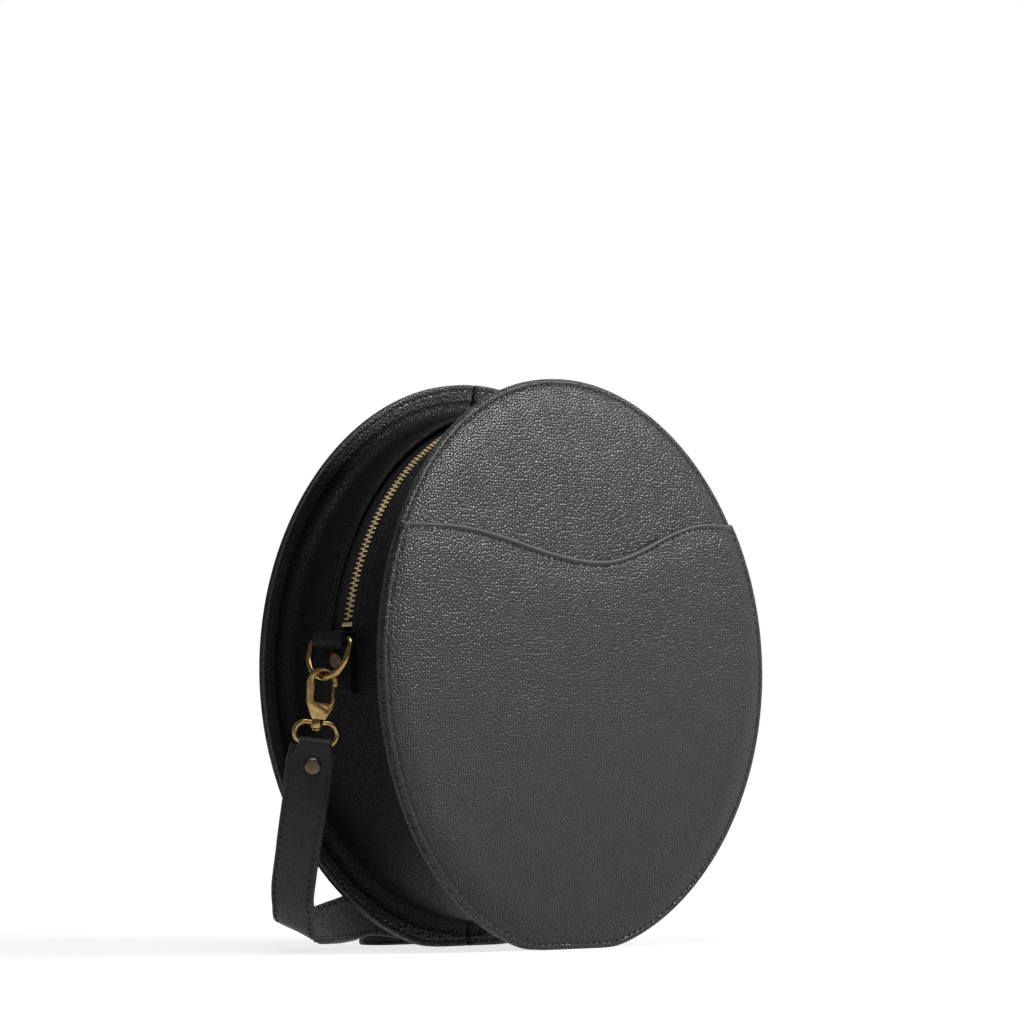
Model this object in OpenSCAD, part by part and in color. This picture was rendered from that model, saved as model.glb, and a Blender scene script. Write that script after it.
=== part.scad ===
// Round leather zip bag: two bowed faces on a gusset, a slip pocket on the front,
// a zip over the top half and a shoulder strap on two swivel hooks.
// +X is the bag's left-to-right, +Y is towards its back, +Z is up, and Z = 0 is the
// surface that it stands on. The origin is under the middle of the bag.

/* [Bag] */
// Radius of the round front and back faces
disc_r = 125; // [100:1:160]
// How much of the rim is worn flat where the bag stands
foot_cut = 2.8; // [1:0.1:6]
// Depth over both faces at their fullest
bag_depth = 75; // [60:1:110]
// Radius to which each face is bowed about a level line
bow_r = 1320; // [900:10:4000]
// How far below the face's middle its fullest line is
bow_drop = 17; // [0:1:30]
// Width of the flat rim outside the gusset
rim_w = 14; // [10:0.5:20]

/* [Layers] */
// Thickness of the front slip pocket
pocket_t = 1.8; // [1:0.1:3]
// Thickness of each face's leather
panel_t = 1.4; // [0.8:0.1:3]
// Thickness of the gusset's turned-out flange
flange_t = 1.2; // [0.8:0.1:2.5]
// Thickness of the gusset's leather
gusset_t = 1.4; // [0.8:0.1:2.5]
// Thickness of the stiffening boards
board_t = 1.6; // [0.8:0.1:3]
// Thickness of the lining cloth
lining_t = 0.5; // [0.3:0.1:1]

/* [Front pocket] */
// Height of the pocket's left corner above the face's middle
pocket_left_h = 59; // [20:1:80]
// Height of its right corner above the face's middle
pocket_right_h = 65; // [20:1:80]
// Height of the dip in its edge above the face's middle
pocket_dip_h = 46.3; // [10:0.1:70]
// How far to the right the dip is
pocket_dip_x = 11; // [-40:1:40]
// Length of the curve from the left level down to the dip
pocket_left_run = 97; // [50:1:110]
// Length of the curve from the dip up to the right level
pocket_right_run = 78; // [50:1:110]

/* [Zip] */
// Angle above level at which the zip's two ends go under the gusset's base
zip_end_a = 7; // [2:0.5:20]
// Gap between the leather edges beside the zip
zip_slot_w = 13.6; // [10:0.1:18]
// Width of the closed chain
chain_w = 6; // [4:0.1:8]
// Height of the chain
chain_h = 2.4; // [1.6:0.1:3.4]
// Distance between the teeth of one side
tooth_pitch = 2.25; // [1.5:0.05:3.5]
// Thickness of the zip's tape
tape_t = 0.7; // [0.4:0.1:1]
// Width of each tape beyond the middle of the zip
tape_w = 15; // [12:0.5:18]
// Angle of the closed slider above level
slider_a = 19.5; // [16:0.5:40]
// Length of the slider
slider_l = 9.6; // [7:0.1:13]
// Length of the pull tab
pull_l = 22; // [14:1:32]

/* [D-rings and tabs] */
// Radius of the ring's wire
ring_wire_r = 1.5; // [1:0.1:2]
// Width of the ring between the middles of its sides
ring_w = 22.5; // [20:0.5:30]
// Height of the ring from the middle of its bar to the middle of its bow
ring_h = 16.6; // [16:0.1:24]
// How far the ring's bar stands off the gusset
ring_off = 6.9; // [6.5:0.1:10]
// Height of the bar above the face's middle
ring_up = 9.8; // [9:0.1:14]
// Angle at which the ring hangs outward
ring_lean = 17; // [12:1:30]
// Width of the leather tab
tab_w = 16.8; // [12:0.1:18]
// Thickness of one ply of the tab
tab_ply = 2.3; // [1.6:0.1:2.6]
// Radius of the rivets' caps
rivet_r = 3.5; // [2.5:0.1:5]

/* [Strap clips] */
// Thickness of the hook
hook_t = 3; // [2:0.1:4]
// Turn of the hook away from square across the ring
hook_turn = 35; // [0:1:36]
// Turn of the strap loop and strap end
clip_turn = 48.3; // [20:0.1:60]
// Sideways lean of the whole clip
clip_tilt = 6; // [0:0.5:8]
// Radius of the strap loop's wire
eye_wire_r = 1.15; // [0.9:0.05:1.5]
// Outer width of the strap loop
eye_w = 20.3; // [18:0.1:26]
// Outer height of the strap loop
eye_h = 11.4; // [9.5:0.1:14]

/* [Strap] */
// Width of the strap
strap_w = 20; // [14:0.5:20]
// Thickness of the strap
strap_t = 3; // [2:0.1:3]
// Width of its end where it passes through the loop
strap_end_w = 14; // [10:0.5:15]

/* [Hidden] */
$fn = 96;

leather = [0.13, 0.13, 0.14];
lining = [0.2, 0.2, 0.21];
brass = [0.72, 0.55, 0.3];
bronze = [0.36, 0.28, 0.22];
board = [0.55, 0.5, 0.42];

seat = 0.02;   // between pieces sewn or pressed together, where round faces meet
run_fit = 0.06;   // radial clearance of a pin that turns
slide_fit = 0.2;   // between the slider and the chain
big = 2 * disc_r + 40;

centre_z = disc_r - foot_cut;
bow_z = centre_z - bow_drop;
gusset_r = disc_r - rim_w;
gusset_in_r = gusset_r - gusset_t;
face_in = pocket_t + panel_t;   // depth from the outermost face to the panel's inside
board_in = face_in + board_t;
lining_in = board_in + lining_t;

tape_out_r = gusset_in_r;
tape_mid_r = tape_out_r - tape_t / 2;
tape_in_r = tape_out_r - tape_t;
lining_r = tape_in_r;
lining_slot = zip_slot_w - 1.2;
chain_slot = 0.7;
tooth_t = 0.53 * tooth_pitch;
tooth_grip = 0.9;   // how far a tooth holds its tape
tape_edge = chain_w / 2 - tooth_grip;
pitch_a = tooth_pitch / tape_mid_r * 180 / PI;
stop_a = slider_a - (slider_l / 2 + 1) / tape_mid_r * 180 / PI;
last_a = 180 - zip_end_a - 1.6;
tooth_count = floor((last_a - 0.9 - stop_a - 0.9) / pitch_a);

ring_x = gusset_r + ring_off;
ring_z = centre_z + ring_up;
ring_corner = 2.5;
ring_low = [ring_x + ring_h * sin(ring_lean), ring_z - ring_h * cos(ring_lean)];
fold_bore = ring_wire_r + run_fit;
fold_r = fold_bore + tab_ply;
tab_low_z = centre_z - 13;
tab_rivet_z = centre_z + 1.5;
rivet_post_r = 1.2;
tab_face = gusset_r + 2 * tab_ply;

hook_in_r = 3.8;
hook_out_r = 6.4;
hook_side = 0.6;   // the opening is nearer the gate than the back of the hook
wire_down = 2.4;   // from the top of the hook's opening to the middle of the ring's wire
hook_top_t = 1.5;
hook_edge = 0.6;   // chamfer round the top of the hook's opening
hook_neck_z = -20;
clip_origin = [
    ring_low[0] + hook_side * cos(hook_turn),
    hook_side * sin(hook_turn),
    ring_low[1] + wire_down
];
gate_x = -4;
gate_z = -15.6;
gate_t = 2;
gate_pin_r = 0.7;
swivel_r = 1.1;
hub_r = 2.5;
hub_h = 3.5;
hub_top = hook_neck_z - 0.2;
eye_mid_z = hub_top - eye_h / 2;
eye_low_z = eye_mid_z - eye_h / 2 + eye_wire_r;
bar_fit = 0.1;   // between a fold of the strap and its bar
strap_fold_r = eye_wire_r + bar_fit + strap_t / 2;
wire_way_a = 17;   // the rise of that bend, over the fold's width
fold_swell = 0.2;   // how much thicker the strap is at its folds
strap_rivet_down = 9.3;
fold_down = 6;

buckle_x = 38;
buckle_y = 102;
buckle_z = 13.25;
buckle_wire_r = 1.25;
buckle_w = 17.5;
buckle_h = 24;
buckle_corner = 2.5;
prong_t = 1.4;
prong_w = 2.2;
prong_hub_r = 2.3;
keeper_x = 70;
keeper_l = 8;
keeper_t = 1.3;
hole_xs = [16, 58, 80];

// ---- places ----

module at_side(left) {
    if (left) {
        mirror([1, 0, 0]) children();
    } else {
        children();
    }
}

module at_angle(a) {
    translate([0, 0, centre_z]) rotate([0, -a, 0]) children();
}

module clip_place(left) {
    at_side(left)
        translate(clip_origin)
            rotate([0, 0, clip_turn])
                rotate([0, -clip_tilt, 0])
                    children();
}

module hook_place(left) {
    clip_place(left) rotate([0, 0, hook_turn - clip_turn]) children();
}

// the point p of the clip's own frame, in the bag's frame
function clip_point(p, left) =
    let (x = p[0] * cos(clip_tilt) - p[2] * sin(clip_tilt))
    let (z = p[0] * sin(clip_tilt) + p[2] * cos(clip_tilt))
    let (rx = x * cos(clip_turn) - p[1] * sin(clip_turn))
    let (ry = x * sin(clip_turn) + p[1] * cos(clip_turn))
    [(left ? -1 : 1) * (clip_origin[0] + rx), clip_origin[1] + ry, clip_origin[2] + z];

// ---- bowed faces ----

module bow_drum(back, depth) {
    mirror([0, back ? 1 : 0, 0])
        translate([-big / 2, -bag_depth / 2 + bow_r, bow_z])
            rotate([0, 90, 0])
                cylinder(r = bow_r - depth, h = big, $fn = 720);
}

// a layer of a face, between two depths below its outermost surface
module bow_layer(back, from, to) {
    intersection() {
        difference() {
            bow_drum(back, from);
            bow_drum(back, to);
        }
        translate([0, (back ? 1 : -1) * bag_depth / 4, 0])
            rotate([90, 0, 0])
                linear_extrude(bag_depth / 2, center = true)
                    children();
    }
}

// what lies inside both faces at a depth
module between_faces(depth) {
    intersection() {
        bow_drum(false, depth);
        bow_drum(true, depth);
        children();
    }
}

module face_outline(r = disc_r) {
    difference() {
        translate([0, centre_z]) circle(r = r, $fn = 180);
        translate([-big / 2, -big]) square([big, big]);
    }
}

module flange_outline(left) {
    intersection() {
        difference() {
            face_outline();
            translate([0, centre_z]) circle(r = gusset_r + seat, $fn = 180);
        }
        translate([left ? -big : seat, -1]) square([big - seat, big]);
    }
}

function ease(u) = (1 - cos(180 * min(1, max(0, u)))) / 2;

function pocket_h(x) =
    x < pocket_dip_x
    ? pocket_dip_h + (pocket_left_h - pocket_dip_h) * ease((pocket_dip_x - x) / pocket_left_run)
    : pocket_dip_h + (pocket_right_h - pocket_dip_h) * ease((x - pocket_dip_x) / pocket_right_run);

module pocket_outline() {
    edge = [for (i = [0:36]) let (x = -disc_r + i * 2 * disc_r / 36) [x, centre_z + pocket_h(x)]];
    intersection() {
        face_outline();
        polygon(concat([[-disc_r, 0]], edge, [[disc_r, 0]]));
    }
}

module front_panel() {
    color(leather) bow_layer(false, pocket_t, face_in) face_outline();
}

module front_pocket() {
    color(leather) bow_layer(false, 0, pocket_t) pocket_outline();
}

module back_panel() {
    color(leather) bow_layer(true, 0, face_in - flange_t) face_outline();
}

module front_flange(left) {
    color(leather) bow_layer(false, face_in, face_in + flange_t) flange_outline(left);
}

module back_flange(left) {
    color(leather) bow_layer(true, face_in - flange_t, face_in) flange_outline(left);
}

module face_board(back) {
    start = back ? face_in - flange_t : face_in;
    color(board)
        bow_layer(back, start, start + board_t)
            translate([0, centre_z])
                circle(r = lining_r - lining_t - slide_fit, $fn = 180);
}

module face_lining(back) {
    start = (back ? face_in - flange_t : face_in) + board_t;
    color(lining)
        bow_layer(back, start, start + lining_t)
            translate([0, centre_z])
                circle(r = lining_r - lining_t - slide_fit, $fn = 180);
}

// ---- gusset ----

// part of a tube round the bag's middle, between two radii, two depths and two angles
module sector(r0, r1, y0, y1, a0, a1) {
    translate([0, 0, centre_z])
        rotate([90, 0, 0])
            rotate([0, 0, a0])
                rotate_extrude(angle = a1 - a0, $fn = 180)
                    translate([r0, -y1])
                        square([r1 - r0, y1 - y0]);
}

module tab_rivet_hole(left) {
    at_side(left)
        translate([gusset_in_r - 4, 0, tab_rivet_z])
            rotate([0, 90, 0])
                cylinder(r = rivet_post_r + run_fit, h = 20, $fn = 32);
}

module gusset_base() {
    half = bag_depth / 2;
    color(leather)
        difference() {
            between_faces(face_in)
                sector(gusset_in_r, gusset_r, -half, half, 180 - zip_end_a, 360 + zip_end_a);
            tab_rivet_hole(true);
            tab_rivet_hole(false);
        }
}

module gusset_strip(back) {
    low = back ? zip_slot_w / 2 : -bag_depth / 2;
    high = back ? bag_depth / 2 : -zip_slot_w / 2;
    color(leather)
        between_faces(face_in)
            sector(gusset_in_r, gusset_r, low, high, zip_end_a, 180 - zip_end_a);
}

module lining_gusset() {
    half = bag_depth / 2;
    color(lining)
        difference() {
            between_faces(face_in) sector(lining_r - lining_t, lining_r, -half, half, 0, 360);
            sector(lining_r - 3, lining_r + 3, -lining_slot / 2, lining_slot / 2, 1, 179);
        }
}

// ---- zip ----

module zip_tape(back) {
    low = back ? tape_edge : -tape_w;
    high = back ? tape_w : -tape_edge;
    color(leather) sector(tape_in_r, tape_out_r, low, high, zip_end_a - 4, 184 - zip_end_a);
}

// a tooth or stop on the +Y side, with the slot that holds the tape's edge
module tooth(t, h) {
    difference() {
        translate([tape_mid_r - h / 2, chain_slot / 2, -t / 2])
            cube([h, chain_w / 2 - chain_slot / 2, t]);
        translate([tape_mid_r - tape_t / 2 - seat, tape_edge, -t])
            cube([tape_t + 2 * seat, chain_w, 2 * t]);
    }
}

module zip_teeth(back) {
    color(brass)
        for (i = [0:tooth_count - 1])
            at_angle(stop_a + 0.9 + (i + (back ? 1 : 0.5)) * pitch_a)
                mirror([0, back ? 0 : 1, 0])
                    tooth(tooth_t, chain_h);
}

module zip_stops() {
    color(brass) {
        for (side = [0, 1])
            at_angle(stop_a)
                mirror([0, side, 0])
                    tooth(1.6, chain_h + 0.4);
        at_angle(last_a)
            for (side = [0, 1])
                mirror([0, side, 0])
                    union() {
                        tooth(2, chain_h);
                        translate([tape_mid_r - chain_h / 2, 0, -1])
                            cube([chain_h, chain_slot, 2]);
                    }
    }
}

slider_top = tape_mid_r + chain_h / 2 + slide_fit;
slider_low = tape_mid_r - chain_h / 2 - slide_fit - 0.1;
plate_t = 1.1;
slider_half = chain_w / 2 + 1.3;
crown_r = 2;
crown_x = slider_top + plate_t + 1.25;
crown_w = 2.4;
pull_bar_r = 0.8;
pull_t = 1.6;
pull_w = 7;
pull_in_a = 3;   // how far the pull leans in, on to the slider's edge

module slider_plan(inset) {
    front = slider_half - inset;
    back = slider_half - 0.6 - inset;
    half_l = slider_l / 2;
    polygon([
        [-front + 1, -half_l], [front - 1, -half_l], [front, -half_l + 1.5],
        [back, half_l - 1], [back - 1, half_l], [1 - back, half_l],
        [-back, half_l - 1], [-front, -half_l + 1.5]
    ]);
}

// a plate of the slider between two distances from the bag's middle
module slider_plate(r0, r1) {
    translate([r0, 0, 0])
        rotate([90, 0, 90])
            linear_extrude(r1 - r0)
                children();
}

module slider_rails() {
    difference() {
        slider_plan(0);
        translate([-chain_w / 2 - slide_fit, -slider_l])
            square([chain_w + 2 * slide_fit, 2 * slider_l]);
    }
}

module slider_body() {
    color(brass)
        at_angle(slider_a)
            difference() {
                union() {
                    slider_plate(slider_top, slider_top + plate_t) slider_plan(0);
                    slider_plate(slider_low - plate_t, slider_low) slider_plan(0);
                    slider_plate(tape_out_r + 0.3, slider_top + 0.1) slider_rails();
                    slider_plate(slider_low - 0.1, tape_in_r - 0.3) slider_rails();
                    translate([slider_low - 0.1, -0.22, -slider_l / 2 + 0.4])
                        cube([slider_top - slider_low + 0.2, 0.44, 2.2]);
                    translate([crown_x, 0, 0])
                        rotate([90, 0, 0])
                            cylinder(r = crown_r, h = crown_w, center = true, $fn = 48);
                    translate([slider_top + plate_t / 2, -crown_w / 2, -crown_r])
                        cube([crown_x - slider_top - plate_t / 2, crown_w, 2 * crown_r]);
                }
                translate([crown_x, 0, 0])
                    rotate([90, 0, 0])
                        cylinder(r = pull_bar_r + run_fit, h = 2 * crown_w, center = true, $fn = 48);
            }
}

module pull_plan() {
    arm = (pull_w - crown_w - 1) / 2;
    difference() {
        union() {
            translate([-pull_w / 2, 0]) square([pull_w, pull_l - pull_w / 2]);
            translate([0, pull_l - pull_w / 2]) circle(r = pull_w / 2, $fn = 48);
        }
        translate([-pull_w / 2 + arm, -1]) square([pull_w - 2 * arm, crown_r + 1.6]);
        translate([0, pull_l - pull_w / 2]) circle(r = 1.6, $fn = 32);
    }
}

module slider_pull() {
    color(brass)
        at_angle(slider_a)
            translate([crown_x, 0, 0])
                rotate([0, 180 + pull_in_a, 0]) {
                    rotate([90, 0, 0])
                        cylinder(r = pull_bar_r, h = pull_w, center = true, $fn = 48);
                    rotate([90, 0, 90])
                        linear_extrude(pull_t, center = true)
                            pull_plan();
                }
}

// ---- D-rings and tabs ----

module rod(r, h) {
    cylinder(r = r, h = h, center = true, $fn = 48);
}

// a flat piece in the XZ plane, with its thickness across Y
module flat_piece(t) {
    rotate([90, 0, 0]) linear_extrude(t, center = true) children();
}

// part of a ring of wire, in the XY plane
module bent_rod(r, bend, a0, a1) {
    rotate([0, 0, a0])
        rotate_extrude(angle = a1 - a0, $fn = 64)
            translate([bend, 0])
                circle(r = r, $fn = 32);
}

module d_ring(left) {
    leg_y = ring_w / 2;
    bow_x = ring_h - leg_y;
    color(brass)
        at_side(left)
            translate([ring_x, 0, ring_z])
                rotate([0, 90 - ring_lean, 0])
                    union() {
                        rotate([90, 0, 0]) rod(ring_wire_r, ring_w - 2 * ring_corner);
                        for (side = [0, 1])
                            mirror([0, side, 0]) {
                                translate([ring_corner, leg_y - ring_corner, 0])
                                    bent_rod(ring_wire_r, ring_corner, 90, 180);
                                translate([(ring_corner + bow_x) / 2, leg_y, 0])
                                    rotate([0, 90, 0])
                                        rod(ring_wire_r, bow_x - ring_corner);
                            }
                        translate([bow_x, 0, 0]) bent_rod(ring_wire_r, leg_y, -90, 90);
                    }
}

module tab_outline() {
    cap_top = tab_rivet_z + rivet_r;
    polygon([
        [ring_x - fold_r + 0.5, ring_z],
        [ring_x + fold_r - 0.5, ring_z],
        [ring_x + fold_r - 0.4, ring_z - 1.5],
        [tab_face + 0.9, cap_top + 1.3],
        [tab_face, cap_top + 0.3],
        [tab_face, tab_low_z + 1.5],
        [tab_face - 1.5, tab_low_z],
        [gusset_r - 8, tab_low_z],
        [gusset_r - 8, ring_z - 2.6],
        [ring_x - fold_r - 0.6, ring_z - 2.2],
        [ring_x - fold_r + 0.2, ring_z - 0.9]
    ]);
}

// the line between the tab's two plies, down from the ring's bar
module tab_slit() {
    low_z = tab_rivet_z + rivet_r + 0.5;
    polygon([
        [ring_x - 0.2, ring_z - fold_bore + 0.3],
        [ring_x + 0.2, ring_z - fold_bore + 0.3],
        [tab_face - tab_ply + 0.05, low_z],
        [tab_face - tab_ply - 0.05, low_z]
    ]);
}

module tab(left) {
    color(leather)
        difference() {
            at_side(left)
                difference() {
                    union() {
                        flat_piece(tab_w) tab_outline();
                        translate([ring_x, 0, ring_z])
                            rotate([90, 0, 0])
                                cylinder(r = fold_r, h = tab_w, center = true, $fn = 64);
                    }
                    flat_piece(2 * tab_w) tab_slit();
                    translate([ring_x, 0, ring_z])
                        rotate([90, 0, 0])
                            cylinder(r = fold_bore, h = 2 * tab_w, center = true, $fn = 64);
                }
            sector(1, gusset_r + seat, -tab_w, tab_w, 0, 360);
            tab_rivet_hole(left);
        }
}

// a cap, a post and a washer along +X, with the post from x0 to x1
module rivet(x0, x1) {
    rotate([0, 90, 0]) {
        translate([0, 0, x0]) cylinder(r = rivet_post_r, h = x1 - x0, $fn = 32);
        translate([0, 0, x1]) cylinder(r = rivet_r, h = 0.7, $fn = 64);
        translate([0, 0, x1 + 0.7]) cylinder(r1 = rivet_r, r2 = rivet_r - 0.8, h = 0.6, $fn = 64);
        translate([0, 0, x0 - 0.5]) cylinder(r = rivet_r - 0.5, h = 0.5, $fn = 64);
    }
}

module tab_rivet(left) {
    color(bronze)
        at_side(left)
            translate([0, 0, tab_rivet_z])
                rivet(gusset_in_r - 0.1, tab_face + 0.02);
}

// ---- swivel hooks ----

module hook_outline() {
    leg = hook_side + hook_in_r;
    difference() {
        union() {
            translate([0, hook_top_t - hook_out_r]) circle(r = hook_out_r, $fn = 64);
            polygon([
                [-hook_out_r, hook_top_t - hook_out_r], [-5.5, -13.5], [-5.5, -15], [-2.8, hook_neck_z],
                [2.8, hook_neck_z], [5.6, -13.5], [hook_out_r, hook_top_t - hook_out_r]
            ]);
        }
        translate([-hook_side, -hook_in_r]) circle(r = hook_in_r, $fn = 64);
        translate([-leg, -11]) square([2 * hook_in_r, 11 - hook_in_r]);
        translate([-leg, -13]) square([2 * hook_in_r - 2, 3]);
        translate([hook_in_r - hook_side - 2, -11]) circle(r = 2, $fn = 32);
        translate([-hook_out_r - 1, -14.5]) square([hook_out_r + 1 - 3.9, 14.5 - 5.7]);
    }
}

module hook(left) {
    color(brass)
        hook_place(left)
            difference() {
                union() {
                    flat_piece(hook_t) hook_outline();
                    translate([0, 0, hub_top - hub_h - 0.1])
                        cylinder(r = swivel_r, h = hub_h + 1, $fn = 48);
                    translate([0, 0, hub_top - hub_h - 1.1])
                        cylinder(r = swivel_r + 0.8, h = 1, $fn = 48);
                }
                translate([-10 + gate_x + 2.2, -gate_t / 2 - 0.1, gate_z - 1.9])
                    cube([10, gate_t + 0.2, 5.2]);
                translate([gate_x, 0, gate_z])
                    rotate([90, 0, 0])
                        rod(gate_pin_r + seat, 2 * hook_t);
                for (side = [0, 1])
                    mirror([0, side, 0])
                        translate([-hook_side, hook_edge - hook_t / 2, -hook_in_r])
                            rotate([90, 0, 0])
                                cylinder(r1 = hook_in_r, r2 = hook_in_r + 2 * hook_edge,
                                    h = 2 * hook_edge, $fn = 64);
            }
}

module gate(left) {
    color(brass)
        hook_place(left)
            flat_piece(gate_t)
                difference() {
                    union() {
                        translate([gate_x, gate_z]) circle(r = 1.5, $fn = 48);
                        polygon([
                            [gate_x - 1.5, gate_z], [gate_x + 1.1, gate_z + 0.6],
                            [-4.5, gate_z + 3], [-4.5, -5.9], [-6.2, -5.9], [-6.3, gate_z + 3]
                        ]);
                    }
                    translate([gate_x, gate_z]) circle(r = gate_pin_r + run_fit, $fn = 48);
                }
}

module gate_pin(left) {
    color(brass)
        hook_place(left)
            translate([gate_x, 0, gate_z])
                rotate([90, 0, 0])
                    rod(gate_pin_r, hook_t);
}

// the strap loop's ring of wire, in the clip's own frame
module eye_wire(r) {
    bend = eye_h / 2 - eye_wire_r;
    side_x = eye_w / 2 - eye_h / 2;
    translate([0, 0, eye_mid_z])
        rotate([90, 0, 0]) {
            translate([side_x, 0, 0]) bent_rod(r, bend, -90, 90);
            translate([-side_x, 0, 0]) bent_rod(r, bend, 90, 270);
            for (y = [-bend, bend])
                translate([0, y, 0])
                    rotate([0, 90, 0])
                        rod(r, 2 * side_x);
        }
}

module eye(left) {
    color(brass)
        clip_place(left)
            difference() {
                union() {
                    eye_wire(eye_wire_r);
                    translate([0, 0, hub_top - hub_h]) cylinder(r = hub_r, h = hub_h, $fn = 48);
                }
                translate([0, 0, hub_top - hub_h - 1])
                    cylinder(r = swivel_r + run_fit, h = hub_h + 2, $fn = 48);
            }
}

// ---- strap ----

// Each station of a strap is [x, y, z], the bearing and the rise of the line across the
// strap, and the strap's width there.
function across(s) = [cos(s[2]) * cos(s[1]), cos(s[2]) * sin(s[1]), sin(s[2])];
function unit(v) = v / norm(v);

function strap_ring(s, i) =
    let (n = len(s))
    let (t = unit(s[min(i + 1, n - 1)][0] - s[max(i - 1, 0)][0]))
    let (a = across(s[i]))
    let (w = unit(a - (a * t) * t) * s[i][3] / 2)
    let (h = cross(t, unit(w)) * strap_t / 2)
    let (c = s[i][0])
    [c - w - h, c + w - h, c + w + h, c - w + h];

module ribbon(s) {
    n = len(s);
    points = [for (i = [0:n - 1]) each strap_ring(s, i)];
    sides = [
        for (i = [0:n - 2], k = [0:3])
            [4 * i + k, 4 * i + 4 + k, 4 * i + 4 + (k + 1) % 4, 4 * i + (k + 1) % 4]
    ];
    polyhedron(
        points = points,
        faces = concat([[0, 1, 2, 3]], sides, [[4 * n - 1, 4 * n - 2, 4 * n - 3, 4 * n - 4]])
    );
}

// the strap's end, from its fold round the loop's lower bar to its full width
function end_stations(left) = [
    [clip_point([0, 0, eye_low_z - 4], left), left ? -clip_turn : clip_turn + 180, -clip_tilt,
     strap_end_w - 1],
    [clip_point([0, 0, eye_low_z - 9], left), left ? -clip_turn : clip_turn + 180, -clip_tilt,
     strap_w],
    [clip_point([0, 0, eye_low_z - 15], left), left ? -clip_turn : clip_turn + 180, -clip_tilt,
     strap_w]
];

// the long strap, from the left clip to its free tip behind the bag
long_route = [
    [[-127.5, 6.3, 64.7], -66, -6], [[-122.9, 14.3, 47.8], -74, -6],
    [[-119.7, 18.7, 40.6], -79, -5], [[-115.7, 24, 32.8], -80, -4], [[-111, 29.7, 25], -83, -3],
    [[-105.7, 34.2, 18.3], -74, -12], [[-95.2, 42.2, 10], -62, -24], [[-79.9, 44.6, 9.9], -62, -38],
    [[-59.9, 49.1, 12.1], -75, -60], [[-37.6, 54.2, 14.8], -60, -88], [[-10, 53, 12.4], 0, -90],
    [[20, 49, 10.8], 0, -90], [[50, 46.5, 10], 0, -90], [[100, 46, 10], 0, -90],
    [[105, 48, 10], 0, -90], [[107, 53, 10], 0, -90], [[105, 58, 10], 0, -90],
    [[100, 60, 10], 0, -90], [[40, 60, 10], 0, -90], [[-18, 60, 10], 0, -90],
    [[-23, 62, 10], 0, -90], [[-25, 67, 10], 0, -90], [[-23, 72, 10], 0, -90],
    [[-18, 74, 10], 0, -90], [[40, 74, 10], 0, -90], [[100, 74, 10], 0, -90],
    [[105, 76, 10], 0, -90], [[107, 81, 10], 0, -90], [[105, 86, 10], 0, -90],
    [[100, 88, 10.2], 0, -90], [[50, 88, 11], 0, -90], [[4, 88, 12], 0, -90],
    [[-1, 89.6, 12.3], 0, -90], [[-3, 93.6, 12.6], 0, -90], [[-1, 97.6, 12.9], 0, -90],
    [[4, 99.1, 13.1], 0, -90], [[20, 99.1, 13.25], 0, -90], [[30, 99.1, 13.25], 0, -90],
    [[34, 100.3, 13.25], 0, -90], [[38, 102.8, 13.25], 0, -90], [[42, 105.5, 13.25], 0, -90],
    [[46.8, 106.9, 13.25], 0, -90], [[52, 106.4, 13.25], 0, -90], [[58, 105.2, 13.25], 0, -90],
    [[88, 105.2, 13.25], 0, -90]
];

// the short strap, from the right clip to the buckle behind the bag
short_route = [
    [[127, 9, 58], 228, -6], [[126.5, 14, 48], 229, -8], [[125.5, 22, 37], 229, -12],
    [[124, 32, 27], 225, -22], [[122.5, 44, 18.5], 216, -40], [[120.5, 58, 13.4], 204, -62],
    [[117.5, 74, 12.6], 194, -80], [[112, 88, 12.8], 186, -88], [[103, 97, 13], 180, -90],
    [[92, 101.4, 13.2], 180, -90], [[80, 102, 13.25], 180, -90], [[60, 102, 13.25], 180, -90]
];

// the short strap's last stations, inside its fold round the buckle's bar
buckle_stations = [
    [[buckle_x + 16, buckle_y, buckle_z], 180, -90, strap_w - 1],
    [[buckle_x + 12, buckle_y, buckle_z], 180, -90, strap_w - 1.4]
];

function with_width(route, w) = [for (s = route) [s[0], s[1], s[2], w]];

// the fold round a bar, along x, with the strap leaving it downward
module strap_fold(w, bar_r) {
    rotate([90, 0, 90])
        linear_extrude(w, center = true)
            difference() {
                hull() {
                    circle(r = strap_fold_r + fold_swell, $fn = 32);
                    translate([-strap_t / 2 - fold_swell, -fold_down])
                        square([strap_t + 2 * fold_swell, 1]);
                }
                circle(r = bar_r + bar_fit, $fn = 32);
            }
}

// room in the fold for the loop's wire, where it bends up at both ends of the lower bar
module eye_wire_way(left) {
    side_x = eye_w / 2 - eye_h / 2;
    clip_place(left)
        for (side = [0, 1])
            mirror([side, 0, 0])
                translate([side_x, 0, eye_low_z])
                    rotate([0, 90 - wire_way_a, 0])
                        cylinder(r = eye_wire_r + 3.5 * bar_fit, h = strap_end_w, $fn = 32);
}

module strap_rivet_hole(left) {
    clip_place(left)
        translate([0, 0, eye_low_z - strap_rivet_down])
            rotate([90, 0, 0])
                rod(rivet_post_r + run_fit, 12);
}

module strap_long() {
    color(leather)
        difference() {
            union() {
                ribbon(concat(end_stations(true), with_width(long_route, strap_w)));
                clip_place(true)
                    translate([0, 0, eye_low_z])
                        strap_fold(strap_end_w, eye_wire_r);
            }
            strap_rivet_hole(true);
            eye_wire_way(true);
            translate([buckle_x - 4, buckle_y - 6, buckle_z - prong_w / 2 - 0.3])
                cube([14.2, 12, prong_w + 0.6]);
            for (x = hole_xs)
                translate([x, buckle_y, buckle_z])
                    rotate([90, 0, 0])
                        rod(1.5, 20);
        }
}

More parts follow.
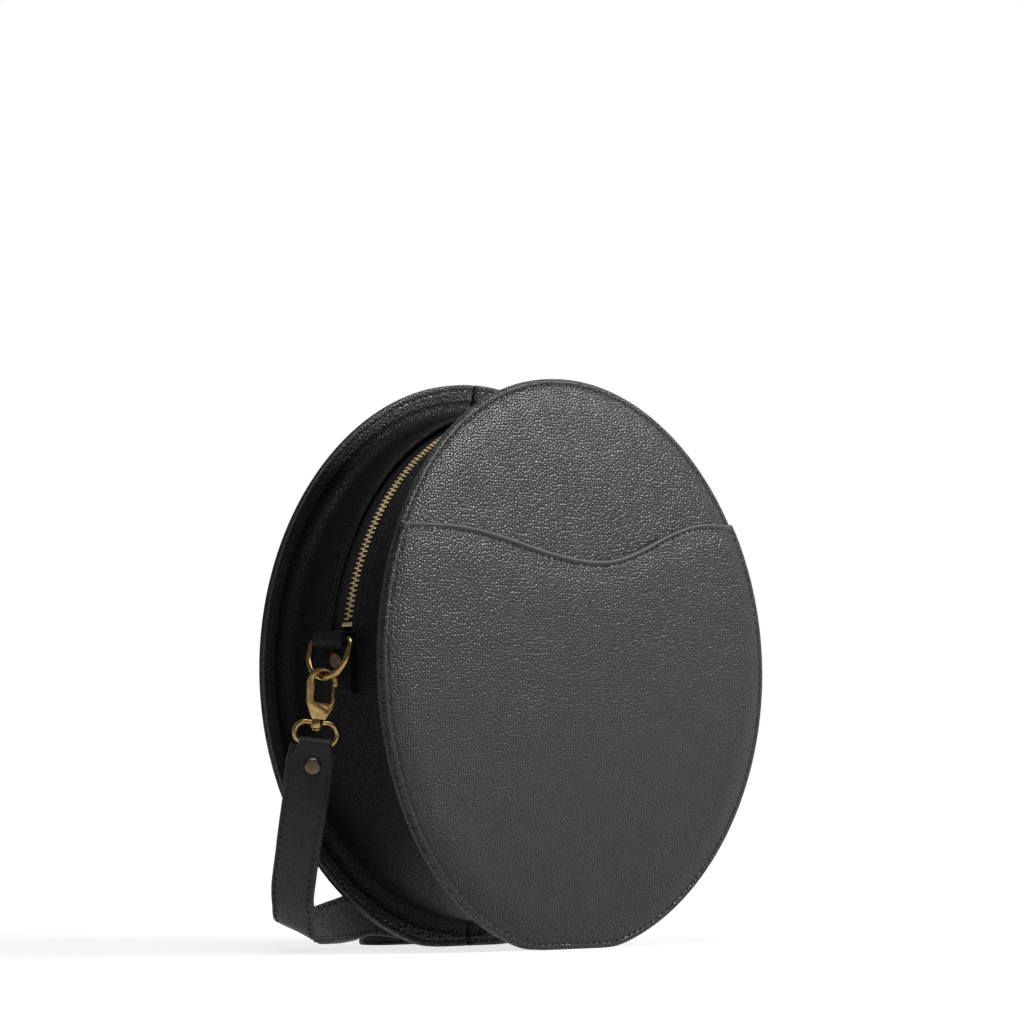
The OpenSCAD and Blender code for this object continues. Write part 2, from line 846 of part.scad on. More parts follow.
module strap_short() {
    color(leather)
        difference() {
            union() {
                ribbon(concat(
                    end_stations(false), with_width(short_route, strap_w), buckle_stations
                ));
                clip_place(false)
                    translate([0, 0, eye_low_z])
                        strap_fold(strap_end_w, eye_wire_r);
                translate([buckle_x + buckle_w / 2, buckle_y, buckle_z])
                    rotate([0, -90, 0])
                        strap_fold(strap_w - 1, buckle_wire_r);
            }
            strap_rivet_hole(false);
            eye_wire_way(false);
            translate([buckle_x - 5, buckle_y - 6, buckle_z - prong_w / 2 - 0.3])
                cube([18, 12, prong_w + 0.6]);
        }
}

module strap_rivet(left) {
    half = strap_t / 2 + fold_swell + 0.1;
    color(bronze)
        clip_place(left)
            translate([0, 0, eye_low_z - strap_rivet_down])
                rotate([0, 0, -90])
                    rivet(-half, half);
}

// ---- buckle ----

module buckle_frame() {
    half_w = buckle_w / 2;
    half_h = buckle_h / 2;
    color(brass)
        translate([buckle_x, buckle_y, buckle_z])
            union() {
                for (x = [-half_w, half_w])
                    translate([x, 0, 0]) rod(buckle_wire_r, buckle_h - 2 * buckle_corner);
                for (z = [-half_h, half_h])
                    translate([0, 0, z])
                        rotate([0, 90, 0])
                            rod(buckle_wire_r, buckle_w - 2 * buckle_corner);
                rotate([90, 0, 0])
                    for (a = [0:3])
                        translate([
                            (a == 0 || a == 3 ? 1 : -1) * (half_w - buckle_corner),
                            (a < 2 ? 1 : -1) * (half_h - buckle_corner),
                            0
                        ])
                            bent_rod(buckle_wire_r, buckle_corner, 90 * a, 90 * a + 90);
            }
}

module buckle_prong() {
    bar_x = buckle_x + buckle_w / 2;
    rest_y = buckle_y + buckle_wire_r + 0.05;
    color(brass)
        difference() {
            union() {
                translate([bar_x, buckle_y, buckle_z]) rod(prong_hub_r, prong_w);
                translate([buckle_x - buckle_w / 2 - 1.7, rest_y, buckle_z - prong_w / 2])
                    cube([buckle_w + 1.7, prong_t, prong_w]);
            }
            translate([bar_x, buckle_y, buckle_z]) rod(buckle_wire_r + run_fit, 2 * prong_w);
        }
}

module strap_keeper() {
    low_y = buckle_y - strap_t / 2 - 0.3;
    high_y = buckle_y + 1.5 * strap_t + 0.5;
    half_h = strap_w / 2 + 0.4;
    color(leather)
        translate([keeper_x - keeper_l / 2, 0, 0])
            difference() {
                translate([0, low_y - keeper_t, buckle_z - half_h - keeper_t])
                    cube([keeper_l, high_y - low_y + 2 * keeper_t, 2 * half_h + 2 * keeper_t]);
                translate([-1, low_y, buckle_z - half_h])
                    cube([keeper_l + 2, high_y - low_y, 2 * half_h]);
            }
}

front_panel();
front_pocket();
front_flange(true);  // front_flange_left
front_flange(false);  // front_flange_right
back_panel();
back_flange(true);  // back_flange_left
back_flange(false);  // back_flange_right
gusset_base();
gusset_strip(false);  // gusset_front_strip
gusset_strip(true);  // gusset_back_strip
zip_tape(false);  // zip_tape_front
zip_tape(true);  // zip_tape_back
zip_teeth(false);  // zip_teeth_front
zip_teeth(true);  // zip_teeth_back
zip_stops();
slider_body();
slider_pull();
face_board(false);  // front_board
face_board(true);  // back_board
face_lining(false);  // lining_front
face_lining(true);  // lining_back
lining_gusset();
tab(true);  // tab_left
tab(false);  // tab_right
tab_rivet(true);  // tab_rivet_left
tab_rivet(false);  // tab_rivet_right
d_ring(true);  // d_ring_left
d_ring(false);  // d_ring_right
eye(true);  // eye_left
eye(false);  // eye_right
hook(true);  // hook_left
hook(false);  // hook_right
gate(true);  // gate_left
gate(false);  // gate_right
gate_pin(true);  // gate_pin_left
gate_pin(false);  // gate_pin_right
strap_long();
strap_short();
strap_rivet(true);  // strap_rivet_left
strap_rivet(false);  // strap_rivet_right
buckle_frame();
buckle_prong();
strap_keeper();
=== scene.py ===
"""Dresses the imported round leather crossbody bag: faces, gusset, zip, hardware and strap."""

import math

import bmesh
import bpy
from bpy.props import FloatProperty, FloatVectorProperty, PointerProperty
from mathutils import Matrix, Vector, noise
from mathutils.kdtree import KDTree


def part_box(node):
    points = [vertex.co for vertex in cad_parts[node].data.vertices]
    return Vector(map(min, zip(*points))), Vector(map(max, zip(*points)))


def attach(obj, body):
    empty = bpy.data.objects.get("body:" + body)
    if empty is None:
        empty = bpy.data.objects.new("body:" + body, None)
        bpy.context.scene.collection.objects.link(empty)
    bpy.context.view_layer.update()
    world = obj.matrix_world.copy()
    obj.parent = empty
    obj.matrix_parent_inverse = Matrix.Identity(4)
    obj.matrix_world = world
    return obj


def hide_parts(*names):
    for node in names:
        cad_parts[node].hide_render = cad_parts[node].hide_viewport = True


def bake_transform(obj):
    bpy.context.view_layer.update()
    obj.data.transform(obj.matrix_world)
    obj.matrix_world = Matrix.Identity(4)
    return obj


bl_info = {
    "name": "Round crossbody bag",
    "version": (1, 0, 0),
    "blender": (4, 5, 0),
    "location": "View3D > Sidebar > Bag",
    "description": "Models a round leather crossbody bag around its packed frame",
    "category": "Object",
}

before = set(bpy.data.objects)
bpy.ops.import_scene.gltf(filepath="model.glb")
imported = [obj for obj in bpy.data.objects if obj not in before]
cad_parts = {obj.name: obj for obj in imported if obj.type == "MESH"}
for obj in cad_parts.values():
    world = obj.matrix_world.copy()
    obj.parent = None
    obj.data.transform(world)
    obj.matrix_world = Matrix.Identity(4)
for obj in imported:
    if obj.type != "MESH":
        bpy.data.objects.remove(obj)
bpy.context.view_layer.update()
MM = 0.001

# ---- sizes read from the frame ----

FACE_LOW, FACE_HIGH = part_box("front_pocket")[0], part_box("front_panel")[1]
DISC_R = FACE_HIGH.x
CENTRE_Z = FACE_HIGH.z - DISC_R
HALF_DEPTH = -FACE_LOW.y
GUSSET_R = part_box("gusset_base")[1].x

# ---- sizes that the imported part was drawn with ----

BOW_R = 1320 * MM
BOW_Z = CENTRE_Z - 17 * MM
POCKET_T = 1.8 * MM
PANEL_T = 1.4 * MM
FLANGE_T = 1.2 * MM
GUSSET_T = 1.3 * MM
BACK_T = POCKET_T + PANEL_T - FLANGE_T
LAYERS = POCKET_T + PANEL_T
SLOT_HALF = 6.8 * MM
SEAM_A = 7.0
TAPE_R = 109.6 * MM
ROLL_BACK = 1.0 * MM
ROLL_W = 15 * MM
FILLET = 6 * MM
FOOT_SOFT = 1.8 * MM

# ---- sizes of the sewing ----

STITCH_FILL = 0.74  # a stitch's length as a share of the pitch
STITCH_SINK = 0.2 * MM
EDGE_DROP = 0.25 * MM
HEM_SEAM = 2.6 * MM
BEAD_W = 1.9 * MM
BEAD_H = 0.7 * MM
BEAD_SEAM = 2.75 * MM


class BagSizes(bpy.types.PropertyGroup):
    """Sizes of the soft parts that a user may change"""

    stitch_pitch: FloatProperty(
        name="Stitch pitch", description="Distance between stitches",
        default=0.0039, min=0.002, max=0.008, unit="LENGTH",
    )
    thread_radius: FloatProperty(
        name="Thread radius", description="Radius of the sewing thread",
        default=0.0005, min=0.0001, max=0.001, unit="LENGTH",
    )
    edge_inset: FloatProperty(
        name="Seam inset", description="How far the seams run inside the edges",
        default=0.0025, min=0.001, max=0.006, unit="LENGTH",
    )
    grain_size: FloatProperty(
        name="Grain size", description="Size of the leather's pebbles",
        default=0.0014, min=0.0004, max=0.004, unit="LENGTH",
    )
    puff: FloatProperty(
        name="Puff", description="How far the leather swells between its seams",
        default=0.0005, min=0.0, max=0.003, unit="LENGTH",
    )


class BagColours(bpy.types.PropertyGroup):
    """Colours of the finishes"""

    leather: FloatVectorProperty(
        name="Leather", description="Colour of the leather's grain side",
        default=(0.038, 0.038, 0.039), subtype="COLOR", min=0, max=1,
    )
    suede: FloatVectorProperty(
        name="Strap lining", description="Colour of the strap's inner side",
        default=(0.12, 0.116, 0.124), subtype="COLOR", min=0, max=1,
    )
    thread: FloatVectorProperty(
        name="Thread", description="Colour of the sewing thread",
        default=(0.003, 0.003, 0.0035), subtype="COLOR", min=0, max=1,
    )
    brass: FloatVectorProperty(
        name="Antiqued brass", description="Colour of the rings and hooks",
        default=(0.4, 0.268, 0.105), subtype="COLOR", min=0, max=1,
    )
    zip_brass: FloatVectorProperty(
        name="Zip brass", description="Colour of the zip's teeth",
        default=(0.9, 0.72, 0.42), subtype="COLOR", min=0, max=1,
    )
    bronze: FloatVectorProperty(
        name="Bronze", description="Colour of the rivets",
        default=(0.16, 0.115, 0.085), subtype="COLOR", min=0, max=1,
    )


def sizes():
    return bpy.context.scene.bag_sizes


def colours():
    return bpy.context.scene.bag_colours


# ---- modelling helpers ----


def deselect():
    if bpy.context.object and bpy.context.object.mode != "OBJECT":
        bpy.ops.object.mode_set(mode="OBJECT")
    bpy.ops.object.select_all(action="DESELECT")


def pick(*objs):
    deselect()
    for obj in objs:
        obj.select_set(True)
    bpy.context.view_layer.objects.active = objs[0]


def modify(obj, kind, **values):
    pick(obj)
    bpy.ops.object.modifier_add(type=kind)
    added = obj.modifiers[-1]
    for key, value in values.items():
        setattr(added, key, value)
    bpy.ops.object.modifier_apply(modifier=added.name)


def edit(obj, *steps):
    """Run edit-mode operators on everything in obj; each step is an operator and its settings."""
    pick(obj)
    bpy.ops.object.mode_set(mode="EDIT")
    bpy.ops.mesh.select_all(action="SELECT")
    for operator, settings in steps:
        operator(**settings)
    bpy.ops.object.mode_set(mode="OBJECT")


def weld(obj):
    edit(obj, (bpy.ops.mesh.remove_doubles, {"threshold": 1e-6}))


def outward(obj):
    edit(obj, (bpy.ops.mesh.normals_make_consistent, {"inside": False}))


def smooth(obj, angle=40):
    pick(obj)
    bpy.ops.object.shade_smooth_by_angle(angle=math.radians(angle))


def grid(name, across, along, place):
    """A grid whose vertices are put where place(u, v) says, u and v from 0 to 1."""
    deselect()
    bpy.ops.mesh.primitive_grid_add(x_subdivisions=across, y_subdivisions=along, size=1)
    obj = bpy.context.object
    obj.name = obj.data.name = name
    for v in obj.data.vertices:
        v.co = place(min(1, max(0, v.co.x + 0.5)), min(1, max(0, v.co.y + 0.5)))
    return obj


def tube(name, sides, rings, place):
    """A tube of rings with closed ends; place(u, v) gives the point u round ring v."""
    obj = grid(name, sides, rings, place)
    weld(obj)
    bm = bmesh.new()
    bm.from_mesh(obj.data)
    bmesh.ops.holes_fill(bm, edges=bm.edges, sides=0)
    bm.to_mesh(obj.data)
    bm.free()
    outward(obj)
    return obj


def from_shapes(name, shape, faces, places):
    """One object of many copies of a small shape; places gives each copy's point function."""
    verts, polys = [], []
    for put, turned in places:
        start = len(verts)
        verts.extend(put(*v) for v in shape)
        polys.extend(tuple(start + i for i in (reversed(f) if turned else f)) for f in faces)
    mesh = bpy.data.meshes.new(name)
    mesh.from_pydata(verts, [], polys)
    obj = bpy.data.objects.new(name, mesh)
    bpy.context.scene.collection.objects.link(obj)
    return obj


def shape_of(obj):
    """The vertices and faces of an object, which is deleted."""
    shape = [tuple(v.co) for v in obj.data.vertices]
    faces = [tuple(p.vertices) for p in obj.data.polygons]
    bpy.data.objects.remove(obj)
    return shape, faces


def face_out(obj, poly, out):
    """Turn every face over if the given one doesn't face the way that out points."""
    if poly.normal.dot(out) < 0:
        edit(obj, (bpy.ops.mesh.flip_normals, {}))


def middle_face(obj):
    return obj.data.polygons[len(obj.data.polygons) // 2]


def thicken(obj, thickness, edge, **values):
    """Give a sheet its thickness inward and round the cut edges."""
    modify(obj, "SOLIDIFY", thickness=thickness, offset=-1, **values)
    modify(
        obj, "BEVEL", width=edge, segments=2, limit_method="ANGLE",
        angle_limit=math.radians(60),
    )


def join(name, parts):
    pick(*parts)
    if len(parts) > 1:
        bpy.ops.object.join()
    obj = bpy.context.object
    obj.name = obj.data.name = name
    return obj


def from_node(name, node, bevel=0.0, segments=3, angle=35):
    """A merged copy of a CAD node with its edges rounded."""
    deselect()
    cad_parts[node].select_set(True)
    bpy.context.view_layer.objects.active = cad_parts[node]
    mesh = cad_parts[node].data.copy()
    obj = bpy.data.objects.new(name, mesh)
    bpy.context.scene.collection.objects.link(obj)
    mesh.name = name
    mesh.materials.clear()
    edit(
        obj,
        (bpy.ops.mesh.customdata_custom_splitnormals_clear, {}),
        (bpy.ops.mesh.remove_doubles, {"threshold": 2e-6}),
        (bpy.ops.mesh.dissolve_limited, {"angle_limit": math.radians(2)}),
    )
    if bevel:
        modify(
            obj, "BEVEL", width=bevel, segments=segments, limit_method="ANGLE",
            angle_limit=math.radians(angle), use_clamp_overlap=True,
            harden_normals=False,
        )
    outward(obj)
    smooth(obj, 40)
    return obj


def finish_piece(obj, body, slot, look, *nodes, angle=40):
    """Smooth a piece, give it its finish, hide the CAD nodes that it replaces and hang it on its
    body's empty.
    """
    smooth(obj, angle)
    obj.data.materials.clear()
    obj.data.materials.append(finish(look))
    if nodes:
        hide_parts(*nodes)
    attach(obj, body)


def dress(rows):
    """Make pieces from CAD nodes.

    A row is name, node, body, slot, finish, bevel in millimetres and what else from_node takes.
    """
    for name, node, body, slot, look, bevel, *more in rows:
        finish_piece(from_node(name, node, bevel * MM, *more), body, slot, look, node)


def ease(t):
    """0 to 1 with a soft start and stop."""
    t = min(1.0, max(0.0, t))
    return t * t * (3 - 2 * t)


def lerp(a, b, t):
    return a + (b - a) * t


# ---- finishes ----


class Tree:
    """A node tree with a method for each kind of node that the finishes and the world use."""

    def __init__(self, tree):
        self.tree = tree
        self.coords = tree.nodes.new("ShaderNodeTexCoord")

    def add(self, kind, **values):
        node = self.tree.nodes.new(kind)
        for key, value in values.items():
            setattr(node, key, value)
        return node

    def link(self, source, target):
        self.tree.links.new(source, target)

    def feed(self, socket, value):
        """Set a socket to a number or a colour, or link another node's output to it."""
        if isinstance(value, (int, float)):
            socket.default_value = value
        elif isinstance(value, (tuple, list)):
            socket.default_value = (*value[:3], 1.0)
        else:
            self.link(value, socket)

    def set(self, node, **values):
        for key, value in values.items():
            node.inputs[key.replace("_", " ")].default_value = value

    def noise(self, scale, detail=3.0, rough=0.5, vector=None):
        node = self.add("ShaderNodeTexNoise")
        self.set(node, Scale=scale, Detail=detail, Roughness=rough)
        self.link(vector or self.coords.outputs["Object"], node.inputs["Vector"])
        return node.outputs["Fac"]

    def cells(self, scale, feature="DISTANCE_TO_EDGE", vector=None, randomness=0.9, space="3D"):
        node = self.add("ShaderNodeTexVoronoi", feature=feature, voronoi_dimensions=space)
        self.set(node, Scale=scale, Randomness=randomness)
        self.link(vector or self.coords.outputs["Object"], node.inputs["Vector"])
        return node.outputs["Distance"]

    def bent(self, scale, amount):
        """Object coordinates pushed about by noise, so that cells aren't regular."""
        wobble = self.add("ShaderNodeTexNoise")
        self.set(wobble, Scale=scale, Detail=2.0)
        self.link(self.coords.outputs["Object"], wobble.inputs["Vector"])
        shift = self.add("ShaderNodeVectorMath", operation="SUBTRACT")
        self.link(wobble.outputs["Color"], shift.inputs[0])
        shift.inputs[1].default_value = (0.5, 0.5, 0.5)
        grow = self.add("ShaderNodeVectorMath", operation="SCALE")
        self.link(shift.outputs[0], grow.inputs[0])
        grow.inputs["Scale"].default_value = amount
        total = self.add("ShaderNodeVectorMath", operation="ADD")
        self.link(self.coords.outputs["Object"], total.inputs[0])
        self.link(grow.outputs[0], total.inputs[1])
        return total.outputs[0]

    def span(self, value, low, high, to_low=0.0, to_high=1.0):
        node = self.add("ShaderNodeMapRange")
        node.inputs["From Min"].default_value = low
        node.inputs["From Max"].default_value = high
        node.inputs["To Min"].default_value = to_low
        node.inputs["To Max"].default_value = to_high
        self.link(value, node.inputs["Value"])
        return node.outputs["Result"]

    def maths(self, operation, a, b):
        node = self.add("ShaderNodeMath", operation=operation)
        for k, value in enumerate((a, b)):
            self.feed(node.inputs[k], value)
        return node.outputs[0]

    def blend(self, factor, first, second):
        node = self.add("ShaderNodeMix", data_type="RGBA")
        for key, value in ((0, factor), (6, first), (7, second)):
            self.feed(node.inputs[key], value)
        return node.outputs[2]

    def bump(self, height, distance, strength=1.0, normal=None):
        node = self.add("ShaderNodeBump")
        node.inputs["Distance"].default_value = distance
        node.inputs["Strength"].default_value = strength
        self.link(height, node.inputs["Height"])
        if normal is not None:
            self.link(normal, node.inputs["Normal"])
        return node.outputs["Normal"]


class Nodes(Tree):
    """A new material's node tree."""

    def __init__(self, name):
        self.material = bpy.data.materials.new(name)
        self.material.use_nodes = True
        super().__init__(self.material.node_tree)
        self.shader = self.tree.nodes["Principled BSDF"]

    def finish(self, colour, rough, normal):
        for value, key in ((colour, "Base Color"), (rough, "Roughness"), (normal, "Normal")):
            self.link(value, self.shader.inputs[key])
        return self.material


def shade(colour, factor):
    return tuple(min(1.0, c * factor) for c in colour)


def leather(name, colour, grain, depth=1.0, rough=(0.32, 0.9), gloss=0.36, crease_shade_share=0.8,
            flat=False):
    """Pebbled leather: small domes of uneven size, with painted shade making the creases between
    them near black.
    """
    n = Nodes(name)
    bent = n.bent(0.35 / grain, grain * 0.8)
    if flat:  # the pebbles of an upright face stand straight through its thickness
        parts = n.add("ShaderNodeSeparateXYZ")
        n.link(bent, parts.inputs[0])
        laid = n.add("ShaderNodeCombineXYZ")
        n.link(n.maths("MULTIPLY", parts.outputs[0], 0.8), laid.inputs[0])
        n.link(parts.outputs[2], laid.inputs[1])
        bent = laid.outputs[0]
    space = "2D" if flat else "3D"
    pebbles = n.cells(1 / grain, "F1", bent, space=space)
    domes = n.span(n.maths("MULTIPLY", pebbles, pebbles), 0.0, 0.32, 1.0, 0.0)
    borders = n.span(n.cells(1 / grain, vector=bent, space=space), 0.0, 0.2)
    waves = n.noise(75.0, 3.0)
    patches = n.noise(14.0, 2.0)
    height = n.maths("ADD", domes, n.maths("MULTIPLY", borders, 0.6))
    height = n.maths("MULTIPLY", height, n.span(waves, 0.34, 0.66, 0.7, 1.0))
    low = n.bump(waves, 0.0008, 0.35)
    normal = n.bump(height, grain * 0.1 * depth, 1.0, low)
    # Painted shade: the creases between the pebbles are painted near black, as the shade that
    # falls in them.
    crease_shade = n.blend(borders, shade(colour, 0.06), shade(colour, 1.2))
    tone = n.blend(n.span(patches, 0.3, 0.7), shade(colour, 0.86), shade(colour, 1.16))
    mixed = n.blend(crease_shade_share, tone, crease_shade)
    roughness = n.span(borders, 0.2, 0.9, rough[1], rough[0])
    n.shader.inputs["Specular IOR Level"].default_value = gloss
    return n.finish(mixed, roughness, normal)


def metal(name, colour, rough=0.3, dull=0.5, scratch=0.00003):
    """Antiqued plating: dark where it has aged, brighter where it is rubbed."""
    n = Nodes(name)
    n.shader.inputs["Metallic"].default_value = 1.0
    cloud = n.noise(260.0, 4.0, 0.6)
    speck = n.noise(2600.0, 2.0)
    aged = n.blend(n.span(cloud, 0.35, 0.62), shade(colour, dull), colour)
    spotted = n.blend(n.span(speck, 0.58, 0.74, 0.0, 0.5), aged, shade(colour, dull * 0.6))
    roughness = n.span(cloud, 0.3, 0.7, rough + 0.12, rough - 0.04)
    brushed = n.noise(1800.0, 3.0, 0.6)
    return n.finish(spotted, roughness, n.bump(brushed, scratch, 0.7))


def cloth(name, colour, thread=0.00035):
    """Plain woven tape."""
    n = Nodes(name)
    across = n.add("ShaderNodeTexWave", wave_type="BANDS", bands_direction="Y")
    along = n.add("ShaderNodeTexWave", wave_type="BANDS", bands_direction="DIAGONAL")
    for node, scale in ((across, 0.32 / thread), (along, 0.25 / thread)):
        n.set(node, Scale=scale, Distortion=0.6)
        n.link(n.coords.outputs["Object"], node.inputs["Vector"])
    height = n.maths("ADD", across.outputs["Fac"], along.outputs["Fac"])
    tone = n.blend(n.span(height, 0.3, 1.6), shade(colour, 0.6), shade(colour, 1.2))
    n.shader.inputs["Sheen Weight"].default_value = 0.05
    n.shader.inputs["Specular IOR Level"].default_value = 0.2
    fuzz = n.span(n.noise(900.0), 0.3, 0.7, 0.8, 0.95)
    return n.finish(tone, fuzz, n.bump(height, thread * 0.5, 0.8))


def plain(name, colour, rough=0.7, mottle=0.15, scale=900.0, depth=0.00005):
    n = Nodes(name)
    speck = n.noise(scale, 3.0)
    tone = n.blend(n.span(speck, 0.3, 0.7), shade(colour, 1 - mottle), shade(colour, 1 + mottle))
    roughness = n.span(speck, 0.3, 0.7, rough - 0.08, rough + 0.08)
    return n.finish(tone, roughness, n.bump(speck, depth, 0.8))


FINISHES = {}


def finish(key):
    """The finish of that name, made the first time that it is asked for."""
    if key in FINISHES:
        return FINISHES[key]
    c, grain = colours(), sizes().grain_size
    black, suede = tuple(c.leather), tuple(c.suede)
    makers = {
        "face": lambda: leather(
            "face_leather", shade(black, 0.4), grain * 0.85, 0.9, (0.3, 0.9), 0.33, flat=True
        ),
        # Painted highlight: the pocket's turned edge is the face leather painted much lighter, as
        # the light that it catches.
        "bead_highlight": lambda: leather(
            "turned_edge_highlight_leather", shade(black, 1.5), grain * 0.6, 0.4, (0.4, 0.6), 0.4, 0.3
        ),
        "rim": lambda: leather(
            "rim_leather", shade(black, 0.5), grain * 1.15, 1.0, (0.34, 0.7), 0.5
        ),
        # Painted shade: the gusset's finish is the same leather painted darker than the face, as
        # the shade on the bag's sides; the tabs and the rims' feet use it too.
        "gusset": lambda: leather(
            "gusset_shaded_leather", shade(black, 0.26), grain, 0.9, (0.38, 0.7), 0.12
        ),
        "strap": lambda: leather(
            "strap_leather", shade(black, 0.6), grain * 0.7, 0.8, (0.36, 0.6), 0.24, 0.6
        ),
        "strap_in": lambda: leather(
            "strap_lining_leather", shade(suede, 3.0), grain * 0.9, 1.2, (0.5, 0.7), 0.3
        ),
        "thread": lambda: plain("waxed_thread", tuple(c.thread), 0.8, 0.3, 2500.0),
        "brass": lambda: metal("antiqued_brass", tuple(c.brass), 0.18, 0.6, 0.00001),
        "zip": lambda: metal("zip_brass", tuple(c.zip_brass), 0.3, 0.85),
        "bronze": lambda: metal("rivet_bronze", tuple(c.bronze), 0.34, 0.55, 0.00006),
        "tape": lambda: cloth("zip_tape", (0.004, 0.004, 0.0045)),
        "lining": lambda: cloth("lining_cloth", (0.02, 0.02, 0.023), 0.0005),
        "board": lambda: plain("fibre_board", (0.4, 0.34, 0.25), 0.85, 0.2, 300.0),
    }
    FINISHES[key] = makers[key]()
    return FINISHES[key]


# ---- stitches ----


def stitch_row(name, points, outs, radius, length, slant=8.0):
    """Stitches centred on points, each along the row and lying on the side that outs faces."""
    deselect()
    bpy.ops.mesh.primitive_uv_sphere_add(segments=8, ring_count=6, radius=1)
    shape, faces = shape_of(bpy.context.object)
    turn = math.radians(slant)
    places = []
    for k, (point, out) in enumerate(zip(points, outs)):
        ahead = points[min(k + 1, len(points) - 1)] - points[max(k - 1, 0)]
        along = (ahead - ahead.dot(out) * out).normalized()
        side = out.cross(along)
        way = along * math.cos(turn) + side * math.sin(turn)
        wide = out.cross(way)
        centre = point - out * radius * 0.35

        def put(x, y, z, centre=centre, way=way, wide=wide, out=out):
            dip = -0.55 * radius * x * x
            return centre + way * x * length / 2 + wide * y * radius + out * (z * radius + dip)

        places.append((put, False))
    return from_shapes(name, shape, faces, places)


def spaced(curve, pitch):
    """The points at even distances along curve(t), t from 0 to 1."""
    count = 600
    samples = [curve(k / count) for k in range(count + 1)]
    run = [0.0]
    for a, b in zip(samples, samples[1:]):
        run.append(run[-1] + (b - a).length)
    number = max(1, int(run[-1] / pitch))
    step = run[-1] / number
    found, k = [], 0
    for i in range(number + 1):
        want = i * step
        while k < count - 1 and run[k + 1] < want:
            k += 1
        share = (want - run[k]) / max(1e-9, run[k + 1] - run[k])
        found.append(curve((k + min(1, share)) / count))
    return found


# ---- faces ----


def bow(z):
    """How far the face has curved back at height z."""
    return BOW_R - math.sqrt(BOW_R**2 - (z - BOW_Z) ** 2)


def rim_radius(angle):
    """Radius of the round face at an angle from level, with its softly flattened foot."""
    down = -math.sin(angle)
    if down < 0.3:
        return DISC_R
    flat = CENTRE_Z / down
    share = max(0.0, FOOT_SOFT - abs(DISC_R - flat)) / FOOT_SOFT
    return min(DISC_R, flat) - share * share * FOOT_SOFT / 4


def roll(r):
    """How far the face turns back near its edge, at distance r from its middle."""
    return ROLL_BACK * ease((r - (DISC_R - ROLL_W)) / ROLL_W) ** 2


def face_y(x, z, depth=0.0):
    """The front face's surface at a depth below its outermost layer."""
    r = math.hypot(x, z - CENTRE_Z)
    return -HALF_DEPTH + bow(z) + roll(r) + depth


def seam_dip(distance, width=0.9 * MM, depth=0.35 * MM):
    """The groove that a row of stitches pulls into the leather."""
    t = abs(distance) / width
    return depth * (1 - ease(t)) if t < 1 else 0.0


def ripple(x, z, seed, size=26 * MM, amount=0.18 * MM):
    return amount * noise.noise(Vector((x / size + seed, z / size, seed * 3.1)))


def disc_point(u, v):
    """Square to disc, with the square's border on the disc's rim."""
    a, b = 2 * u - 1, 2 * v - 1
    if abs(a) < 1e-9 and abs(b) < 1e-9:
        return 0.0, 0.0
    if abs(a) > abs(b):
        r, phi = a, math.pi / 4 * b / a
    else:
        r, phi = b, math.pi / 2 - math.pi / 4 * a / b
    if r < 0:
        r, phi = -r, phi + math.pi
    return r, phi


def rim_spacing(r):
    """Crowds the grid's lines towards the rim, where the seam and the turned edge are."""
    return 1 - (1 - r) ** 1.35


def face_sheet(name, back, depth, thickness, cells=190):
    """A round face with its seam groove and softly turned edge."""
    inset = sizes().edge_inset
    seed = 7.3 if back else 2.1

    def place(u, v):
        share, angle = disc_point(u, v)
        limit = rim_radius(angle)
        r = rim_spacing(share) * limit
        x, z = r * math.cos(angle), CENTRE_Z + r * math.sin(angle)
        edge = limit - r
        soft = ease(edge / (9 * MM))
        y = face_y(x, z, depth) + seam_dip(edge - inset) - ripple(x, z, seed) * soft
        y -= sizes().puff * ease((edge - inset) / (12 * MM)) * 0.6
        y += EDGE_DROP * (1 - ease(edge / (0.8 * MM)))
        return (x, -y if back else y, z)

    obj = grid(name, cells, cells, place)
    weld(obj)
    face_out(obj, obj.data.polygons[0], Vector((0, 1 if back else -1, 0)))
    thicken(obj, thickness, 0.35 * MM, use_even_offset=False)
    return obj


# ---- pocket ----

POCKET_LEFT = 59 * MM
POCKET_RIGHT = 65 * MM
POCKET_DIP = 46.3 * MM
POCKET_DIP_X = 11 * MM
POCKET_RUNS = (97 * MM, 78 * MM)


def half_wave(t):
    return (1 - math.cos(math.pi * min(1, max(0, t)))) / 2


def pocket_z(x):
    """Height of the pocket's edge above the face's middle."""
    if x < POCKET_DIP_X:
        return lerp(POCKET_DIP, POCKET_LEFT, half_wave((POCKET_DIP_X - x) / POCKET_RUNS[0]))
    return lerp(POCKET_DIP, POCKET_RIGHT, half_wave((x - POCKET_DIP_X) / POCKET_RUNS[1]))


def pocket_corner(side, inset=0.0):
    """Where the pocket's edge meets the rim: x, z above the middle, and the angle."""
    x = side * DISC_R * 0.87
    for _ in range(30):
        x = side * math.sqrt((DISC_R - inset) ** 2 - pocket_z(x) ** 2)
    return x, pocket_z(x), math.atan2(pocket_z(x), x)


